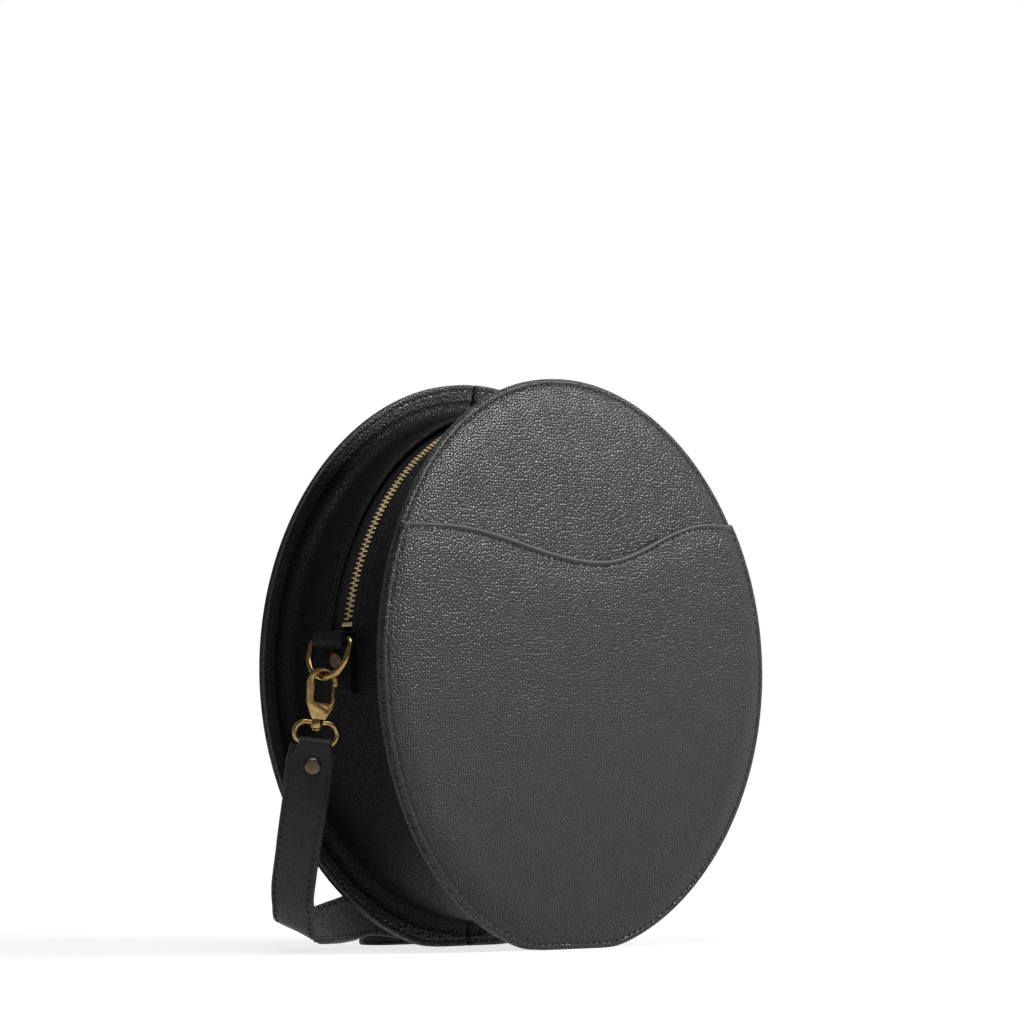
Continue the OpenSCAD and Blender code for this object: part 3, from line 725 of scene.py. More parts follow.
def pocket_sheet(columns=200):
    """The slip pocket, ruled from its wavy edge down to the rim, with a rolled top edge."""
    left, right = pocket_corner(-1), pocket_corner(1)
    start = left[2]
    sweep = (2 * math.pi + right[2]) - start
    near = [0, 0.15, 0.35, 0.6, 0.9, 1.2, 1.5, 1.75, 1.95, 2.15, 2.45, 2.75, 3.05, 3.35, 3.7,
            4.2, 5.0, 6.2, 8.0, 10.5, 14.0]
    rows = len(near) * 2 + 34
    inset = sizes().edge_inset

    def row_distance(j, length):
        """How far row j lies below the wavy edge, on a line that long."""
        if j < len(near):
            return min(near[j] * MM, length * 0.49 * j / len(near))
        if j > rows - len(near):
            k = rows - j
            return length - min(near[k] * MM * 0.9, length * 0.49 * k / len(near))
        first = min(near[-1] * MM, length * 0.49 * (len(near) - 1) / len(near))
        last = length - min(near[-1] * MM * 0.9, length * 0.49 * (len(near) - 1) / len(near))
        share = (j - len(near) + 1) / (rows - 2 * len(near) + 2)
        return lerp(first, last, share)

    def place(u, v):
        x0 = lerp(left[0], right[0], u)
        corner = 1 - ease(min(u, 1 - u) / 0.06)
        top = Vector((x0, pocket_z(x0)))
        angle = start + sweep * u
        limit = rim_radius(angle)
        low = Vector((limit * math.cos(angle), limit * math.sin(angle)))
        length = (low - top).length
        j = round(v * rows)
        distance = row_distance(j, length)
        share = distance / length if length > 1e-7 else v
        p = top.lerp(low, share)
        x, z = p.x, CENTRE_Z + p.y
        edge = max(0.0, rim_radius(math.atan2(p.y, p.x)) - p.length)
        soft = ease(edge / (9 * MM)) * ease(distance / (12 * MM))
        hump = 0.0
        if distance < BEAD_W:
            hump = BEAD_H * math.sin(math.pi * min(1, distance / BEAD_W)) ** 0.7
        hump *= 1 - 0.6 * corner
        y = face_y(x, z) + seam_dip(edge - inset) + seam_dip(distance - BEAD_SEAM)
        y -= hump + ripple(x, z, 4.4) * soft
        swell = ease((edge - inset) / (12 * MM)) * ease((distance - 3 * MM) / (12 * MM))
        y -= sizes().puff * swell
        y += EDGE_DROP * (1 - ease(edge / (0.8 * MM)))
        y += 0.35 * MM * (1 - ease(distance / (0.35 * MM)))
        return (x, y, z)

    obj = grid("front_pocket_leather", columns, rows, place)
    weld(obj)
    face_out(obj, middle_face(obj), Vector((0, -1, 0)))
    thicken(obj, POCKET_T, 0.3 * MM)
    return obj


def face_stitches(name, back, first, last, depth):
    """Stitches round a face's seam between two angles, in degrees from level."""
    pitch, inset = sizes().stitch_pitch, sizes().edge_inset

    def curve(t):
        angle = math.radians(lerp(first, last, t))
        r = rim_radius(angle) - inset
        x, z = r * math.cos(angle), CENTRE_Z + r * math.sin(angle)
        y = face_y(x, z, depth) + STITCH_SINK
        return Vector((x, -y if back else y, z))

    points = spaced(curve, pitch)
    outs = [Vector((0, 1 if back else -1, 0))] * len(points)
    return stitch_row(name, points, outs, sizes().thread_radius, pitch * STITCH_FILL)


def pocket_stitches():
    left, right = pocket_corner(-1), pocket_corner(1)
    pitch = sizes().stitch_pitch

    def curve(t):
        x = lerp(left[0] + 4 * MM, right[0] - 4 * MM, t)
        slope = (pocket_z(x + 1e-4) - pocket_z(x - 1e-4)) / 2e-4
        down = Vector((slope, -1)).normalized() * BEAD_SEAM
        px, pz = x + down.x, CENTRE_Z + pocket_z(x) + down.y
        return Vector((px, face_y(px, pz) + STITCH_SINK, pz))

    points = spaced(curve, pitch)
    outs = [Vector((0, -1, 0))] * len(points)
    return stitch_row("pocket_stitching", points, outs, sizes().thread_radius, pitch * 0.7)


class BAG_OT_faces(bpy.types.Operator):
    """Model the round front and back faces with their stitching"""

    bl_idname = "bag.faces"
    bl_label = "Faces"

    def execute(self, context):
        front = face_sheet("front_panel_leather", False, POCKET_T, PANEL_T)
        finish_piece(front, "bag", "leather", "face", "front_panel")
        back = face_sheet("back_panel_leather", True, 0.0, BACK_T)
        finish_piece(back, "bag", "leather", "face", "back_panel")
        right = math.degrees(pocket_corner(1)[2]) + 1.2
        left = math.degrees(pocket_corner(-1)[2]) - 1.2
        for name, is_back, first, last, depth in (
            ("front_panel_stitching", False, right, left, POCKET_T),
            ("front_rim_stitching", False, left + 2.4, right + 357.6, 0.0),
            ("back_panel_stitching", True, 0, 359, 0.0),
        ):
            row = face_stitches(name, is_back, first, last, depth)
            finish_piece(row, "bag", "leather", "thread")
        return {"FINISHED"}


class BAG_OT_pocket(bpy.types.Operator):
    """Model the slip pocket with its rolled, wavy edge"""

    bl_idname = "bag.pocket"
    bl_label = "Front pocket"

    def execute(self, context):
        pocket = pocket_sheet()
        finish_piece(pocket, "bag", "leather", "face", "front_pocket")
        # Painted highlight: the faces along the pocket's rolled edge take the lighter edge finish.
        pocket.data.materials.append(finish("bead_highlight"))
        for poly in pocket.data.polygons:
            x, y, z = poly.center
            if z - CENTRE_Z > pocket_z(x) - BEAD_W:
                poly.material_index = 1
        finish_piece(pocket_stitches(), "bag", "leather", "thread")
        return {"FINISHED"}


# ---- gusset ----


def flange_y(x, z, back=False):
    """The side of a flange that faces the bag's middle, at the front's or the back's depth."""
    return face_y(x, z, LAYERS if back else LAYERS + FLANGE_T)


def polar(radius, angle, y):
    return Vector((radius * math.cos(angle), y, CENTRE_Z + radius * math.sin(angle)))


def from_axis(point):
    """The way from the bag's middle line out to a point."""
    return point - Vector((0, point.y, CENTRE_Z))


def fillet_point(share, angle, back):
    """The turn from the flange (share 0) down into the gusset (share 1)."""
    turn = share * math.pi / 2
    r = GUSSET_R + FILLET * (1 - math.sin(turn))
    y0 = flange_y(r * math.cos(angle), CENTRE_Z + r * math.sin(angle), back)
    y = y0 + FILLET * (1 - math.cos(turn))
    return polar(r, angle, -y if back else y)


def flange_sheet(name, left, back):
    """Half of the gusset's turned-out rim with the soft turn into the gusset."""
    start, stop = (90.25, 269.75) if left else (-89.75, 89.75)
    inset = sizes().edge_inset
    flat = [0, 0.25, 0.5, 0.9, 1.4, 1.8, 2.1, 2.5, 2.9, 3.2, 3.6, 4.3, 5.2, 6.2, 7.2]
    turns = 12
    rows = len(flat) - 1 + turns

    def place(u, v):
        angle = math.radians(lerp(start, stop, u))
        j = round(v * rows)
        seam = 1 - ease(min(u, 1 - u) * (stop - start) * 2.2 / 1.6)
        if j < len(flat) - 1:
            limit = rim_radius(angle)
            reach = limit - (GUSSET_R + FILLET)
            r = limit - flat[j] / flat[-1] * reach
            x, z = r * math.cos(angle), CENTRE_Z + r * math.sin(angle)
            edge = limit - r
            y = flange_y(x, z, back) - seam_dip(edge - inset, depth=0.25 * MM)
            y += ripple(x, z, 11.0, 12 * MM, 0.16 * MM) - 0.5 * MM * seam
            y -= EDGE_DROP * (1 - ease(edge / (0.7 * MM)))
            return polar(r, angle, -y if back else y)
        share = (j - len(flat) + 1) / turns
        p = fillet_point(share, angle, back)
        wave = ripple(p.x, p.z, 11.0, 12 * MM, 0.16 * MM) * (1 - share)
        wave -= 0.5 * MM * seam * (1 - share)
        p.y += -wave if back else wave
        return p

    obj = grid(name, 180, rows, place)
    face_out(obj, middle_face(obj), Vector((0, -1 if back else 1, 0)))
    thicken(obj, FLANGE_T, 0.25 * MM, use_even_offset=False)
    return obj


def gusset_r(y, edge_y):
    """The gusset's outer radius at y, with its swell between the two turned corners."""
    share = min(1.0, max(0.0, y / edge_y))
    swell = 1.1 * MM * (1 - share**2) * ease((1 - share) / 0.3)
    return GUSSET_R + swell


def gusset_sheet(name, first, last, slot, back=False, both=False):
    """A band of the gusset between two angles; slot is its distance from the zip's line."""
    span = last - first
    steps = max(24, int(span))
    hem = [0, 0.2, 0.45, 0.8, 1.2, 1.6, 1.9, 2.2, 2.6, 3.0, 3.4, 3.8]
    rest = 18
    rows = len(hem) - 1 + rest

    def corner(angle, at_back):
        return abs(fillet_point(1.0, angle, at_back).y)

    def half(share_row, angle, at_back):
        """The distance from the zip's line and the radius in a row of one half."""
        edge_y = corner(angle, at_back)
        if slot > 0:
            if share_row < len(hem) - 1:
                y = slot + hem[share_row] * MM
            else:
                y = lerp(slot + hem[-1] * MM, edge_y, (share_row - len(hem) + 1) / rest)
            d = y - slot
            lift = 0.45 * MM * math.sin(math.pi * min(1, d / (2.0 * MM))) if d < 2 * MM else 0
            lift -= seam_dip(d - HEM_SEAM, 0.8 * MM, 0.3 * MM)
            lift -= 0.3 * MM * (1 - ease(d / (0.5 * MM)))
        else:
            y = lerp(0, edge_y, share_row / rows)
            lift = 0.0
        return y, gusset_r(y, edge_y) + lift

    def ends(u):
        """The lift at the band's ends: tucked under beside the zip, hemmed below it."""
        run = min(u, 1 - u) * math.radians(span) * GUSSET_R
        if slot > 0:
            return -0.5 * MM * (1 - ease(run / (3 * MM)))
        lift = 0.5 * MM * math.sin(math.pi * min(1, run / (2.4 * MM))) if run < 2.4 * MM else 0
        return lift + 0.35 * MM * ease(1 - run / (12 * MM)) - seam_dip(run - 3 * MM, 0.8 * MM)

    def place(u, v):
        angle = math.radians(lerp(first, last, u))
        if both:
            j = round(abs(v - 0.5) * 2 * rows)
            sign = -1 if v < 0.5 else 1
        else:
            j = round(v * rows)
            sign = 1 if back else -1
        y, r = half(j, angle, sign > 0)
        near = 1 - ease((corner(angle, sign > 0) - y) / (4 * MM))
        r += ends(u) * (1 - near) if slot > 0 else ends(u)
        r += ripple(angle * GUSSET_R, y * sign, 17.0, 20 * MM, 0.2 * MM) * (1 - near)
        return polar(r, angle, sign * y)

    obj = grid(name, steps, rows * 2 if both else rows, place)
    face_out(obj, middle_face(obj), from_axis(middle_face(obj).center))
    thicken(obj, GUSSET_T, 0.25 * MM, use_even_offset=False)
    return obj


def gusset_stitches(name, back):
    pitch = sizes().stitch_pitch
    y = (SLOT_HALF + HEM_SEAM) * (1 if back else -1)

    def curve(t):
        angle = math.radians(lerp(SEAM_A + 1.2, 180 - SEAM_A - 1.2, t))
        edge = abs(fillet_point(1.0, angle, back).y)
        return polar(gusset_r(abs(y), edge) - EDGE_DROP, angle, y)

    points = spaced(curve, pitch * 0.8)
    outs = [from_axis(p).normalized() for p in points]
    return stitch_row(name, points, outs, sizes().thread_radius, pitch * 0.56)


def flange_stitches(name, back):
    pitch, inset = sizes().stitch_pitch, sizes().edge_inset

    def curve(t):
        angle = math.radians(lerp(0, 359, t))
        r = rim_radius(angle) - inset
        x, z = r * math.cos(angle), CENTRE_Z + r * math.sin(angle)
        y = flange_y(x, z, back) - STITCH_SINK
        return Vector((x, -y if back else y, z))

    points = spaced(curve, pitch)
    outs = [Vector((0, -1 if back else 1, 0))] * len(points)
    return stitch_row(name, points, outs, sizes().thread_radius, pitch * STITCH_FILL)


class BAG_OT_gusset(bpy.types.Operator):
    """Model the gusset, its strips beside the zip and its turned-out rims"""

    bl_idname = "bag.gusset"
    bl_label = "Gusset"

    def execute(self, context):
        for back in (False, True):
            side = "back" if back else "front"
            for left in (True, False):
                half = "left" if left else "right"
                rim = flange_sheet(f"{side}_flange_{half}_leather", left, back)
                finish_piece(rim, "bag", "leather", "rim", f"{side}_flange_{half}")
                # Painted shade: the rim's foot, where it turns into the gusset, takes the darker
                # gusset finish as the shade in that fold.
                rim.data.materials.append(finish("gusset"))
                for poly in rim.data.polygons:
                    if from_axis(poly.center).length < GUSSET_R + FILLET + 1.2 * MM:
                        poly.material_index = 1
            strip = gusset_sheet(
                f"gusset_{side}_strip_leather", SEAM_A, 180 - SEAM_A, SLOT_HALF, back
            )
            finish_piece(strip, "bag", "leather", "gusset", f"gusset_{side}_strip")
            row = gusset_stitches(f"gusset_{side}_stitching", back)
            finish_piece(row, "bag", "leather", "thread")
            row = flange_stitches(f"{side}_flange_stitching", back)
            finish_piece(row, "bag", "leather", "thread")
        base = gusset_sheet(
            "gusset_base_leather", 180 - SEAM_A, 360 + SEAM_A, 0.0, both=True
        )
        finish_piece(base, "bag", "leather", "gusset", "gusset_base")
        return {"FINISHED"}


# ---- zip ----

CHAIN_H = 2.4 * MM
TOOTH_PITCH = 2.25 * MM
TOOTH_IN = -0.5 * MM
TOOTH_L = 2.95 * MM
TAPE_T = 0.7 * MM
TAPE_MID = TAPE_R - TAPE_T / 2
TOOTH_COUNT = 130
FIRST_TOOTH_A = 16.81


def tape_sheet(name, back):
    """Half of the zip's woven tape, with the corded edge that carries the teeth."""
    sign = 1 if back else -1

    def place(u, v):
        angle = math.radians(lerp(SEAM_A - 4, 184 - SEAM_A, u))
        y = lerp(1.5 * MM, 12 * MM, v)
        cord = 0.45 * MM * max(0.0, 1 - abs(y - 2.4 * MM) / (0.9 * MM))
        sunk = 0.3 * MM * ease((y - 5 * MM) / (4 * MM))
        return polar(TAPE_R - 0.05 * MM + cord - sunk, angle, sign * y)

    obj = grid(name, 170, 28, place)
    face_out(obj, middle_face(obj), from_axis(middle_face(obj).center))
    modify(obj, "SOLIDIFY", thickness=TAPE_T, offset=-1)
    return obj


def tooth_shape():
    """One moulded tooth on the +Y side at the top of the bag's circle, as vertices and faces."""
    deselect()
    bpy.ops.mesh.primitive_cube_add(size=1)
    obj = bpy.context.object
    for v in obj.data.vertices:
        v.co = (v.co.x * TOOTH_PITCH * 0.4, TOOTH_IN + (v.co.y + 0.5) * TOOTH_L, v.co.z * CHAIN_H)
    for cut in (0.32, 0.7):
        edit(obj, (bpy.ops.mesh.bisect, {
            "plane_co": (0, TOOTH_IN + cut * TOOTH_L, 0), "plane_no": (0, 1, 0),
        }))
    for v in obj.data.vertices:
        share = (v.co.y - TOOTH_IN) / TOOTH_L
        if share < 0.1:
            v.co.x *= 0.9
            v.co.z *= 0.85
        elif share < 0.5:
            v.co.x *= 1.12
        elif share > 0.9:
            v.co.x *= 0.8
            v.co.z *= 0.75
    modify(
        obj, "BEVEL", width=0.16 * MM, segments=1, limit_method="ANGLE",
        angle_limit=math.radians(50),
    )
    return shape_of(obj)


def teeth_row(name, back, shape, faces):
    """All the teeth of one tape; the back's stand half a pitch further on."""
    pitch_a = TOOTH_PITCH / TAPE_MID * 180 / math.pi
    sign = 1 if back else -1
    places = []
    for k in range(TOOTH_COUNT):
        angle = math.radians(FIRST_TOOTH_A + (k + (1 if back else 0.5)) * pitch_a)
        out = Vector((math.cos(angle), 0, math.sin(angle)))
        along = Vector((-math.sin(angle), 0, math.cos(angle)))
        centre = Vector((0, 0, CENTRE_Z)) + out * TAPE_MID

        def put(x, y, z, centre=centre, along=along, out=out):
            return centre + along * x + Vector((0, sign * y, 0)) + out * z

        places.append((put, not back))
    obj = from_shapes(name, shape, faces, places)
    outward(obj)
    return obj


class BAG_OT_zip(bpy.types.Operator):
    """Model the zip's tapes, teeth, stops and slider"""

    bl_idname = "bag.zip"
    bl_label = "Zip"

    def execute(self, context):
        shape, faces = tooth_shape()
        for back in (False, True):
            side = "back" if back else "front"
            tape = tape_sheet(f"zip_tape_{side}_weave", back)
            finish_piece(tape, "bag", "cloth", "tape", f"zip_tape_{side}")
            row = teeth_row(f"zip_teeth_{side}_row", back, shape, faces)
            finish_piece(row, "bag", "brass", "zip", f"zip_teeth_{side}", angle=30)
        dress((
            ("zip_stops_metal", "zip_stops", "bag", "brass", "zip", 0.3),
            ("slider_body_cast", "slider_body", "zip_slider", "brass", "brass", 0.28),
            ("slider_pull_cast", "slider_pull", "zip_pull", "brass", "brass", 0.35),
        ))
        return {"FINISHED"}


# ---- tabs, rings, hooks and rivets ----


class BAG_OT_fittings(bpy.types.Operator):
    """Model the tabs, D-rings, swivel hooks, strap loops and rivets"""

    bl_idname = "bag.fittings"
    bl_label = "Fittings"

    def execute(self, context):
        for side in ("left", "right"):
            clip, hook = f"clip_{side}", f"hook_{side}"
            # The tabs take the gusset's finish, which is painted darker as shade.
            dress((
                (f"tab_{side}_leather", f"tab_{side}", "bag", "leather", "gusset", 0.8, 4, 50),
                (f"tab_rivet_{side}_cap", f"tab_rivet_{side}", "bag", "bronze", "bronze", 0.25),
                (f"d_ring_{side}_wire", f"d_ring_{side}", f"ring_{side}", "brass", "brass", 0),
                (f"eye_{side}_loop", f"eye_{side}", clip, "brass", "brass", 0.2, 2),
                (f"{hook}_cast", hook, hook, "brass", "brass", 0.75, 4, 30),
                (f"gate_{side}_cast", f"gate_{side}", f"gate_{side}", "brass", "brass", 0.4),
                (f"gate_pin_{side}_peened", f"gate_pin_{side}", hook, "brass", "brass", 0.1, 2),
                (f"strap_rivet_{side}_cap", f"strap_rivet_{side}", clip, "bronze", "bronze", 0.25),
            ))
        return {"FINISHED"}


# ---- strap ----

STRAP_W = 20 * MM
STRAP_T = 3 * MM
STRAP_END_W = 14 * MM
CLIP_TURN = math.radians(48.3)
CLIP_TILT = math.radians(6)
CLIP_ORIGIN = Vector((123.245, 0.344, 118.525)) * MM
EYE_LOW_Z = -30.45 * MM
EYE_WIRE_R = 1.15 * MM

# The strap's end below its loop: distance down, width and shift across, in millimetres.
STRAP_END = (
    (2.4, 15, 0.4), (4.5, 17.4, 0.8), (6.6, 19.9, 1.2), (9.5, 20, 1.4), (15, 20, 1.4),
)

# Stations of the route: x, y, z in millimetres, then the bearing and rise across the strap.
LONG_ROUTE = (
    (-127.5, 6.3, 64.7, -66, -6), (-122.9, 14.3, 47.8, -74, -6), (-119.7, 18.7, 40.6, -79, -5),
    (-115.7, 24, 32.8, -80, -4), (-111, 29.7, 25, -83, -3), (-105.7, 34.2, 18.3, -74, -12),
    (-95.2, 42.2, 10, -62, -24), (-79.9, 44.6, 9.9, -62, -38), (-59.9, 49.1, 12.1, -75, -60),
    (-37.6, 54.2, 14.8, -60, -88), (-10, 53, 12.4, 0, -90), (20, 49, 10.8, 0, -90),
    (50, 46.5, 10, 0, -90), (100, 46, 10, 0, -90), (105, 48, 10, 0, -90), (107, 53, 10, 0, -90),
    (105, 58, 10, 0, -90), (100, 60, 10, 0, -90), (40, 60, 10, 0, -90), (-18, 60, 10, 0, -90),
    (-23, 62, 10, 0, -90), (-25, 67, 10, 0, -90), (-23, 72, 10, 0, -90), (-18, 74, 10, 0, -90),
    (40, 74, 10, 0, -90), (100, 74, 10, 0, -90), (105, 76, 10, 0, -90), (107, 81, 10, 0, -90),
    (105, 86, 10, 0, -90), (100, 88, 10.2, 0, -90), (50, 88, 11, 0, -90), (4, 88, 12, 0, -90),
    (-1, 89.6, 12.3, 0, -90), (-3, 93.6, 12.6, 0, -90), (-1, 97.6, 12.9, 0, -90),
    (4, 99.1, 13.1, 0, -90), (20, 99.1, 13.25, 0, -90), (30, 99.1, 13.25, 0, -90),
    (34, 100.3, 13.25, 0, -90), (38, 102.8, 13.25, 0, -90), (42, 105.5, 13.25, 0, -90),
    (46.8, 106.9, 13.25, 0, -90), (52, 106.4, 13.25, 0, -90), (58, 105.2, 13.25, 0, -90),
    (88, 105.2, 13.25, 0, -90),
)
SHORT_ROUTE = (
    (127, 9, 58, 228, -6), (126.5, 14, 48, 229, -8), (125.5, 22, 37, 229, -12),
    (124, 32, 27, 225, -22), (122.5, 44, 18.5, 216, -40), (120.5, 58, 13.4, 204, -62),
    (117.5, 74, 12.6, 194, -80), (112, 88, 12.8, 186, -88), (103, 97, 13, 180, -90),
    (92, 101.4, 13.2, 180, -90), (80, 102, 13.25, 180, -90), (60, 102, 13.25, 180, -90),
    (50, 102, 13.25, 180, -90),
)

# The section's corners from the edge to the middle: inset and drop, in millimetres.
SECTION_TOP = (
    (0.0, 0.75), (0.12, 0.35), (0.4, 0.1), (0.9, 0.0), (1.4, 0.05), (1.9, 0.28), (2.4, 0.05),
    (3.2, -0.04), (5.5, -0.1),
)
SECTION_LOW = ((0.0, 0.75), (0.12, 0.35), (0.4, 0.1), (0.9, 0.0), (1.9, 0.12), (3.0, 0.0))
STRAP_SEAM = 1.9 * MM
BUCKLE = Vector((38, 102, 13.25)) * MM
BUCKLE_HALF_W = 8.75 * MM
BUCKLE_WIRE_R = 1.25 * MM


def clip_matrix(left):
    """The clip's own frame: its origin inside the hook, Z up along the clip."""
    turn = Matrix.Rotation(CLIP_TURN, 4, "Z") @ Matrix.Rotation(-CLIP_TILT, 4, "Y")
    place = Matrix.Translation(CLIP_ORIGIN) @ turn
    if left:
        place = Matrix.Scale(-1, 4, (1, 0, 0)) @ place
    return place


def strap_stations(left):
    """Every station of a strap from below its loop: centre, across direction and width."""
    place = clip_matrix(left)
    bearing = -math.degrees(CLIP_TURN) if left else math.degrees(CLIP_TURN) + 180
    found = []
    for down, width, aside in STRAP_END:
        centre = place @ Vector((aside * MM, 0, EYE_LOW_Z - down * MM))
        found.append([centre, bearing, -math.degrees(CLIP_TILT), width * MM])
    for x, y, z, turn, rise in LONG_ROUTE if left else SHORT_ROUTE:
        found.append([Vector((x, y, z)) * MM, turn, rise, STRAP_W])
    return found


def smooth_line(points, share, k):
    """A point between points k and k + 1 on the smooth curve through them all."""
    a, b = points[k], points[k + 1]
    before = points[k - 1] if k > 0 else a - (b - a)
    after = points[k + 2] if k + 2 < len(points) else b + (b - a)
    span = (b - a).length
    lead = (b - before).normalized() * span
    trail = (after - a).normalized() * span
    t, t2, t3 = share, share**2, share**3
    return (a * (2 * t3 - 3 * t2 + 1) + lead * (t3 - 2 * t2 + t)
            + b * (3 * t2 - 2 * t3) + trail * (t3 - t2))


def strap_line(left, step=2.2 * MM):
    """Closely spaced frames along the strap: centre, across, outward and width."""
    stations = strap_stations(left)
    points = [s[0] for s in stations]
    frames = []
    for k in range(len(stations) - 1):
        pieces = max(1, round((points[k + 1] - points[k]).length / step))
        for i in range(pieces):
            t = i / pieces
            rest = (lerp(a, b, t) for a, b in zip(stations[k][1:], stations[k + 1][1:]))
            frames.append([smooth_line(points, t, k), *rest])
    frames.append(list(stations[-1]))
    line = []
    for k, (centre, bearing, rise, width) in enumerate(frames):
        a = frames[max(0, k - 1)][0]
        b = frames[min(len(frames) - 1, k + 1)][0]
        way = (b - a).normalized()
        bearing, rise = math.radians(bearing), math.radians(rise)
        level = math.cos(rise)
        across = Vector((level * math.cos(bearing), level * math.sin(bearing), math.sin(rise)))
        across = (across - across.dot(way) * way).normalized()
        out = way.cross(across) * (1 if left else -1)
        line.append((centre, across, out, width))
    return line


def strap_section(width, thick):
    """The strap's cross-section: (across, outward) points, with grooves along the seams."""
    half, t = width / 2, thick / 2
    top = [(half - inset * MM, t - drop * MM) for inset, drop in SECTION_TOP]
    low = [(-half + inset * MM, -t + rise * MM) for inset, rise in SECTION_LOW]
    return [
        *top, (0.0, t + 0.12 * MM), *((-x, y) for x, y in reversed(top)),
        *low, (0.0, -t), *((-x, y) for x, y in reversed(low)),
    ]


def strap_band(name, line, taper_last=False):
    """The strap itself, a band of two plies sewn together."""
    sides = len(strap_section(STRAP_W, STRAP_T))
    rings = len(line) - 1

    def place(u, v):
        k = round(v * rings)
        centre, across, out, width = line[k]
        thick = STRAP_T - (0.4 * MM if k < 2 else 0)
        if taper_last:
            width = STRAP_W * (1 - 0.62 * (1 - ease((rings - k) / 5)) ** 2)
        x, y = strap_section(width, thick)[round(u * sides) % sides]
        return centre + across * x + out * y

    return tube(name, sides, rings, place)


def fold_path(bar_r, reach, thick):
    """The middle line of one ply up to a bar, round it and down again."""
    mid = bar_r + 0.1 * MM + thick / 2
    flat = STRAP_T / 2 + 0.1 * MM - thick / 2
    steps_flat, steps_turn = 7, 16
    near = 5.2 * MM
    path = [(-flat, -lerp(reach, near, k / steps_flat)) for k in range(steps_flat)]
    for k in range(steps_turn + 1):
        a = math.radians(lerp(200, -20, k / steps_turn))
        path.append((mid * math.cos(a), mid * math.sin(a)))
    path.extend((flat, -lerp(near, reach, k / steps_flat)) for k in range(1, steps_flat + 1))
    return path


def fold_sheet(name, place_matrix, width, bar_r, reach, full=None):
    """One ply that comes up, goes round a bar along X and goes down again, in a local frame."""
    thick = STRAP_T / 2 + 0.1 * MM
    path = fold_path(bar_r, reach, thick)
    rings = len(path) - 1
    section = [(-0.5, -0.34), (-0.485, 0.2), (-0.47, 0.5), (-0.3, 0.5), (0, 0.5), (0.3, 0.5),
               (0.47, 0.5), (0.485, 0.2), (0.5, -0.34), (0.3, -0.5), (0, -0.5), (-0.3, -0.5)]
    sides = len(section)

    def place(u, v):
        k = round(v * rings)
        a, b = path[max(0, k - 1)], path[min(rings, k + 1)]
        way = Vector((b[0] - a[0], b[1] - a[1])).normalized()
        normal = Vector((-way.y, way.x))
        x, y = section[round(u * sides) % sides]
        w, shift = width, 0.0
        if full is not None:
            share = min(1.0, max(0.0, (-path[k][1] - 0.6 * MM) / (6.2 * MM)))
            w = lerp(width, full, share)
            shift = 1.4 * MM * share
        point = Vector(path[k]) + normal * (y * thick)
        return place_matrix @ Vector((x * w + shift, -point.x, point.y))

    return tube(name, sides, rings, place)


def strap_seams(name, line, inner=False):
    """Stitches along both edges of a strap, on its outer or inner side."""
    pitch = sizes().stitch_pitch
    start, end = 3.2 * MM, 4 * MM
    lengths = [0.0]
    for a, b in zip(line, line[1:]):
        lengths.append(lengths[-1] + (b[0] - a[0]).length)
    run = lengths[-1] - start - end
    count = int(run / pitch)
    parts = []
    for side in (-1, 1):
        points, outs = [], []
        k = 0
        for i in range(count + 1):
            want = start + i * run / count
            while k < len(line) - 2 and lengths[k + 1] < want:
                k += 1
            t = (want - lengths[k]) / max(1e-9, lengths[k + 1] - lengths[k])
            centre, across, out = (a.lerp(b, t) for a, b in zip(line[k][:3], line[k + 1][:3]))
            width = lerp(line[k][3], line[k + 1][3], t)
            out = out.normalized() * (-1 if inner else 1)
            points.append(centre + across.normalized() * side * (width / 2 - STRAP_SEAM)
                          + out * (STRAP_T / 2 - 0.24 * MM))
            outs.append(out)
        radius = sizes().thread_radius * 1.9
        parts.append(stitch_row(name, points, outs, radius, pitch * 0.36, slant=6))
    return join(name, parts)


def paint_sides(obj, line):
    """Faces that look inward get the lining's finish, the second one."""
    near = KDTree(len(line))
    for i, station in enumerate(line):
        near.insert(station[0], i)
    near.balance()
    for poly in obj.data.polygons:
        _, i, _ = near.find(poly.center)
        if poly.normal.dot(line[i][2]) < -0.6:
            poly.material_index = 1


def strap_piece(left):
    """A strap with its folded ends and seams, and the line that it follows."""
    side = "left" if left else "right"
    line = strap_line(left)
    band = strap_band("strap_long_leather" if left else "strap_short_leather", line, left)
    paint_sides(band, line)
    clip = clip_matrix(left)
    bar = clip @ Matrix.Translation((0, 0, EYE_LOW_Z))
    parts = [band, fold_sheet(f"fold_{side}", bar, STRAP_END_W, EYE_WIRE_R, 12.5 * MM, STRAP_W)]
    if not left:
        bar = Matrix.Translation(BUCKLE + Vector((BUCKLE_HALF_W, 0, 0)))
        bar = bar @ Matrix.Rotation(math.radians(-90), 4, "Y")
        parts.append(fold_sheet("fold_buckle", bar, STRAP_W - 1 * MM, BUCKLE_WIRE_R, 9 * MM))
    for name, inner in ((f"thread_{side}", False), (f"lining_thread_{side}", True)):
        row = strap_seams(name, line, inner)
        for poly in row.data.polygons:
            poly.material_index = 2
        parts.append(row)
    for part in parts:
        for look in ("strap", "strap_in", "thread"):
            part.data.materials.append(finish(look))
    smooth(band, 35)
    obj = join(band.name, parts)
    smooth(obj, 35)
    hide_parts("strap_long" if left else "strap_short")
    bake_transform(obj)
    return obj, line


def line_length(line):
    return sum((b[0] - a[0]).length for a, b in zip(line, line[1:]))


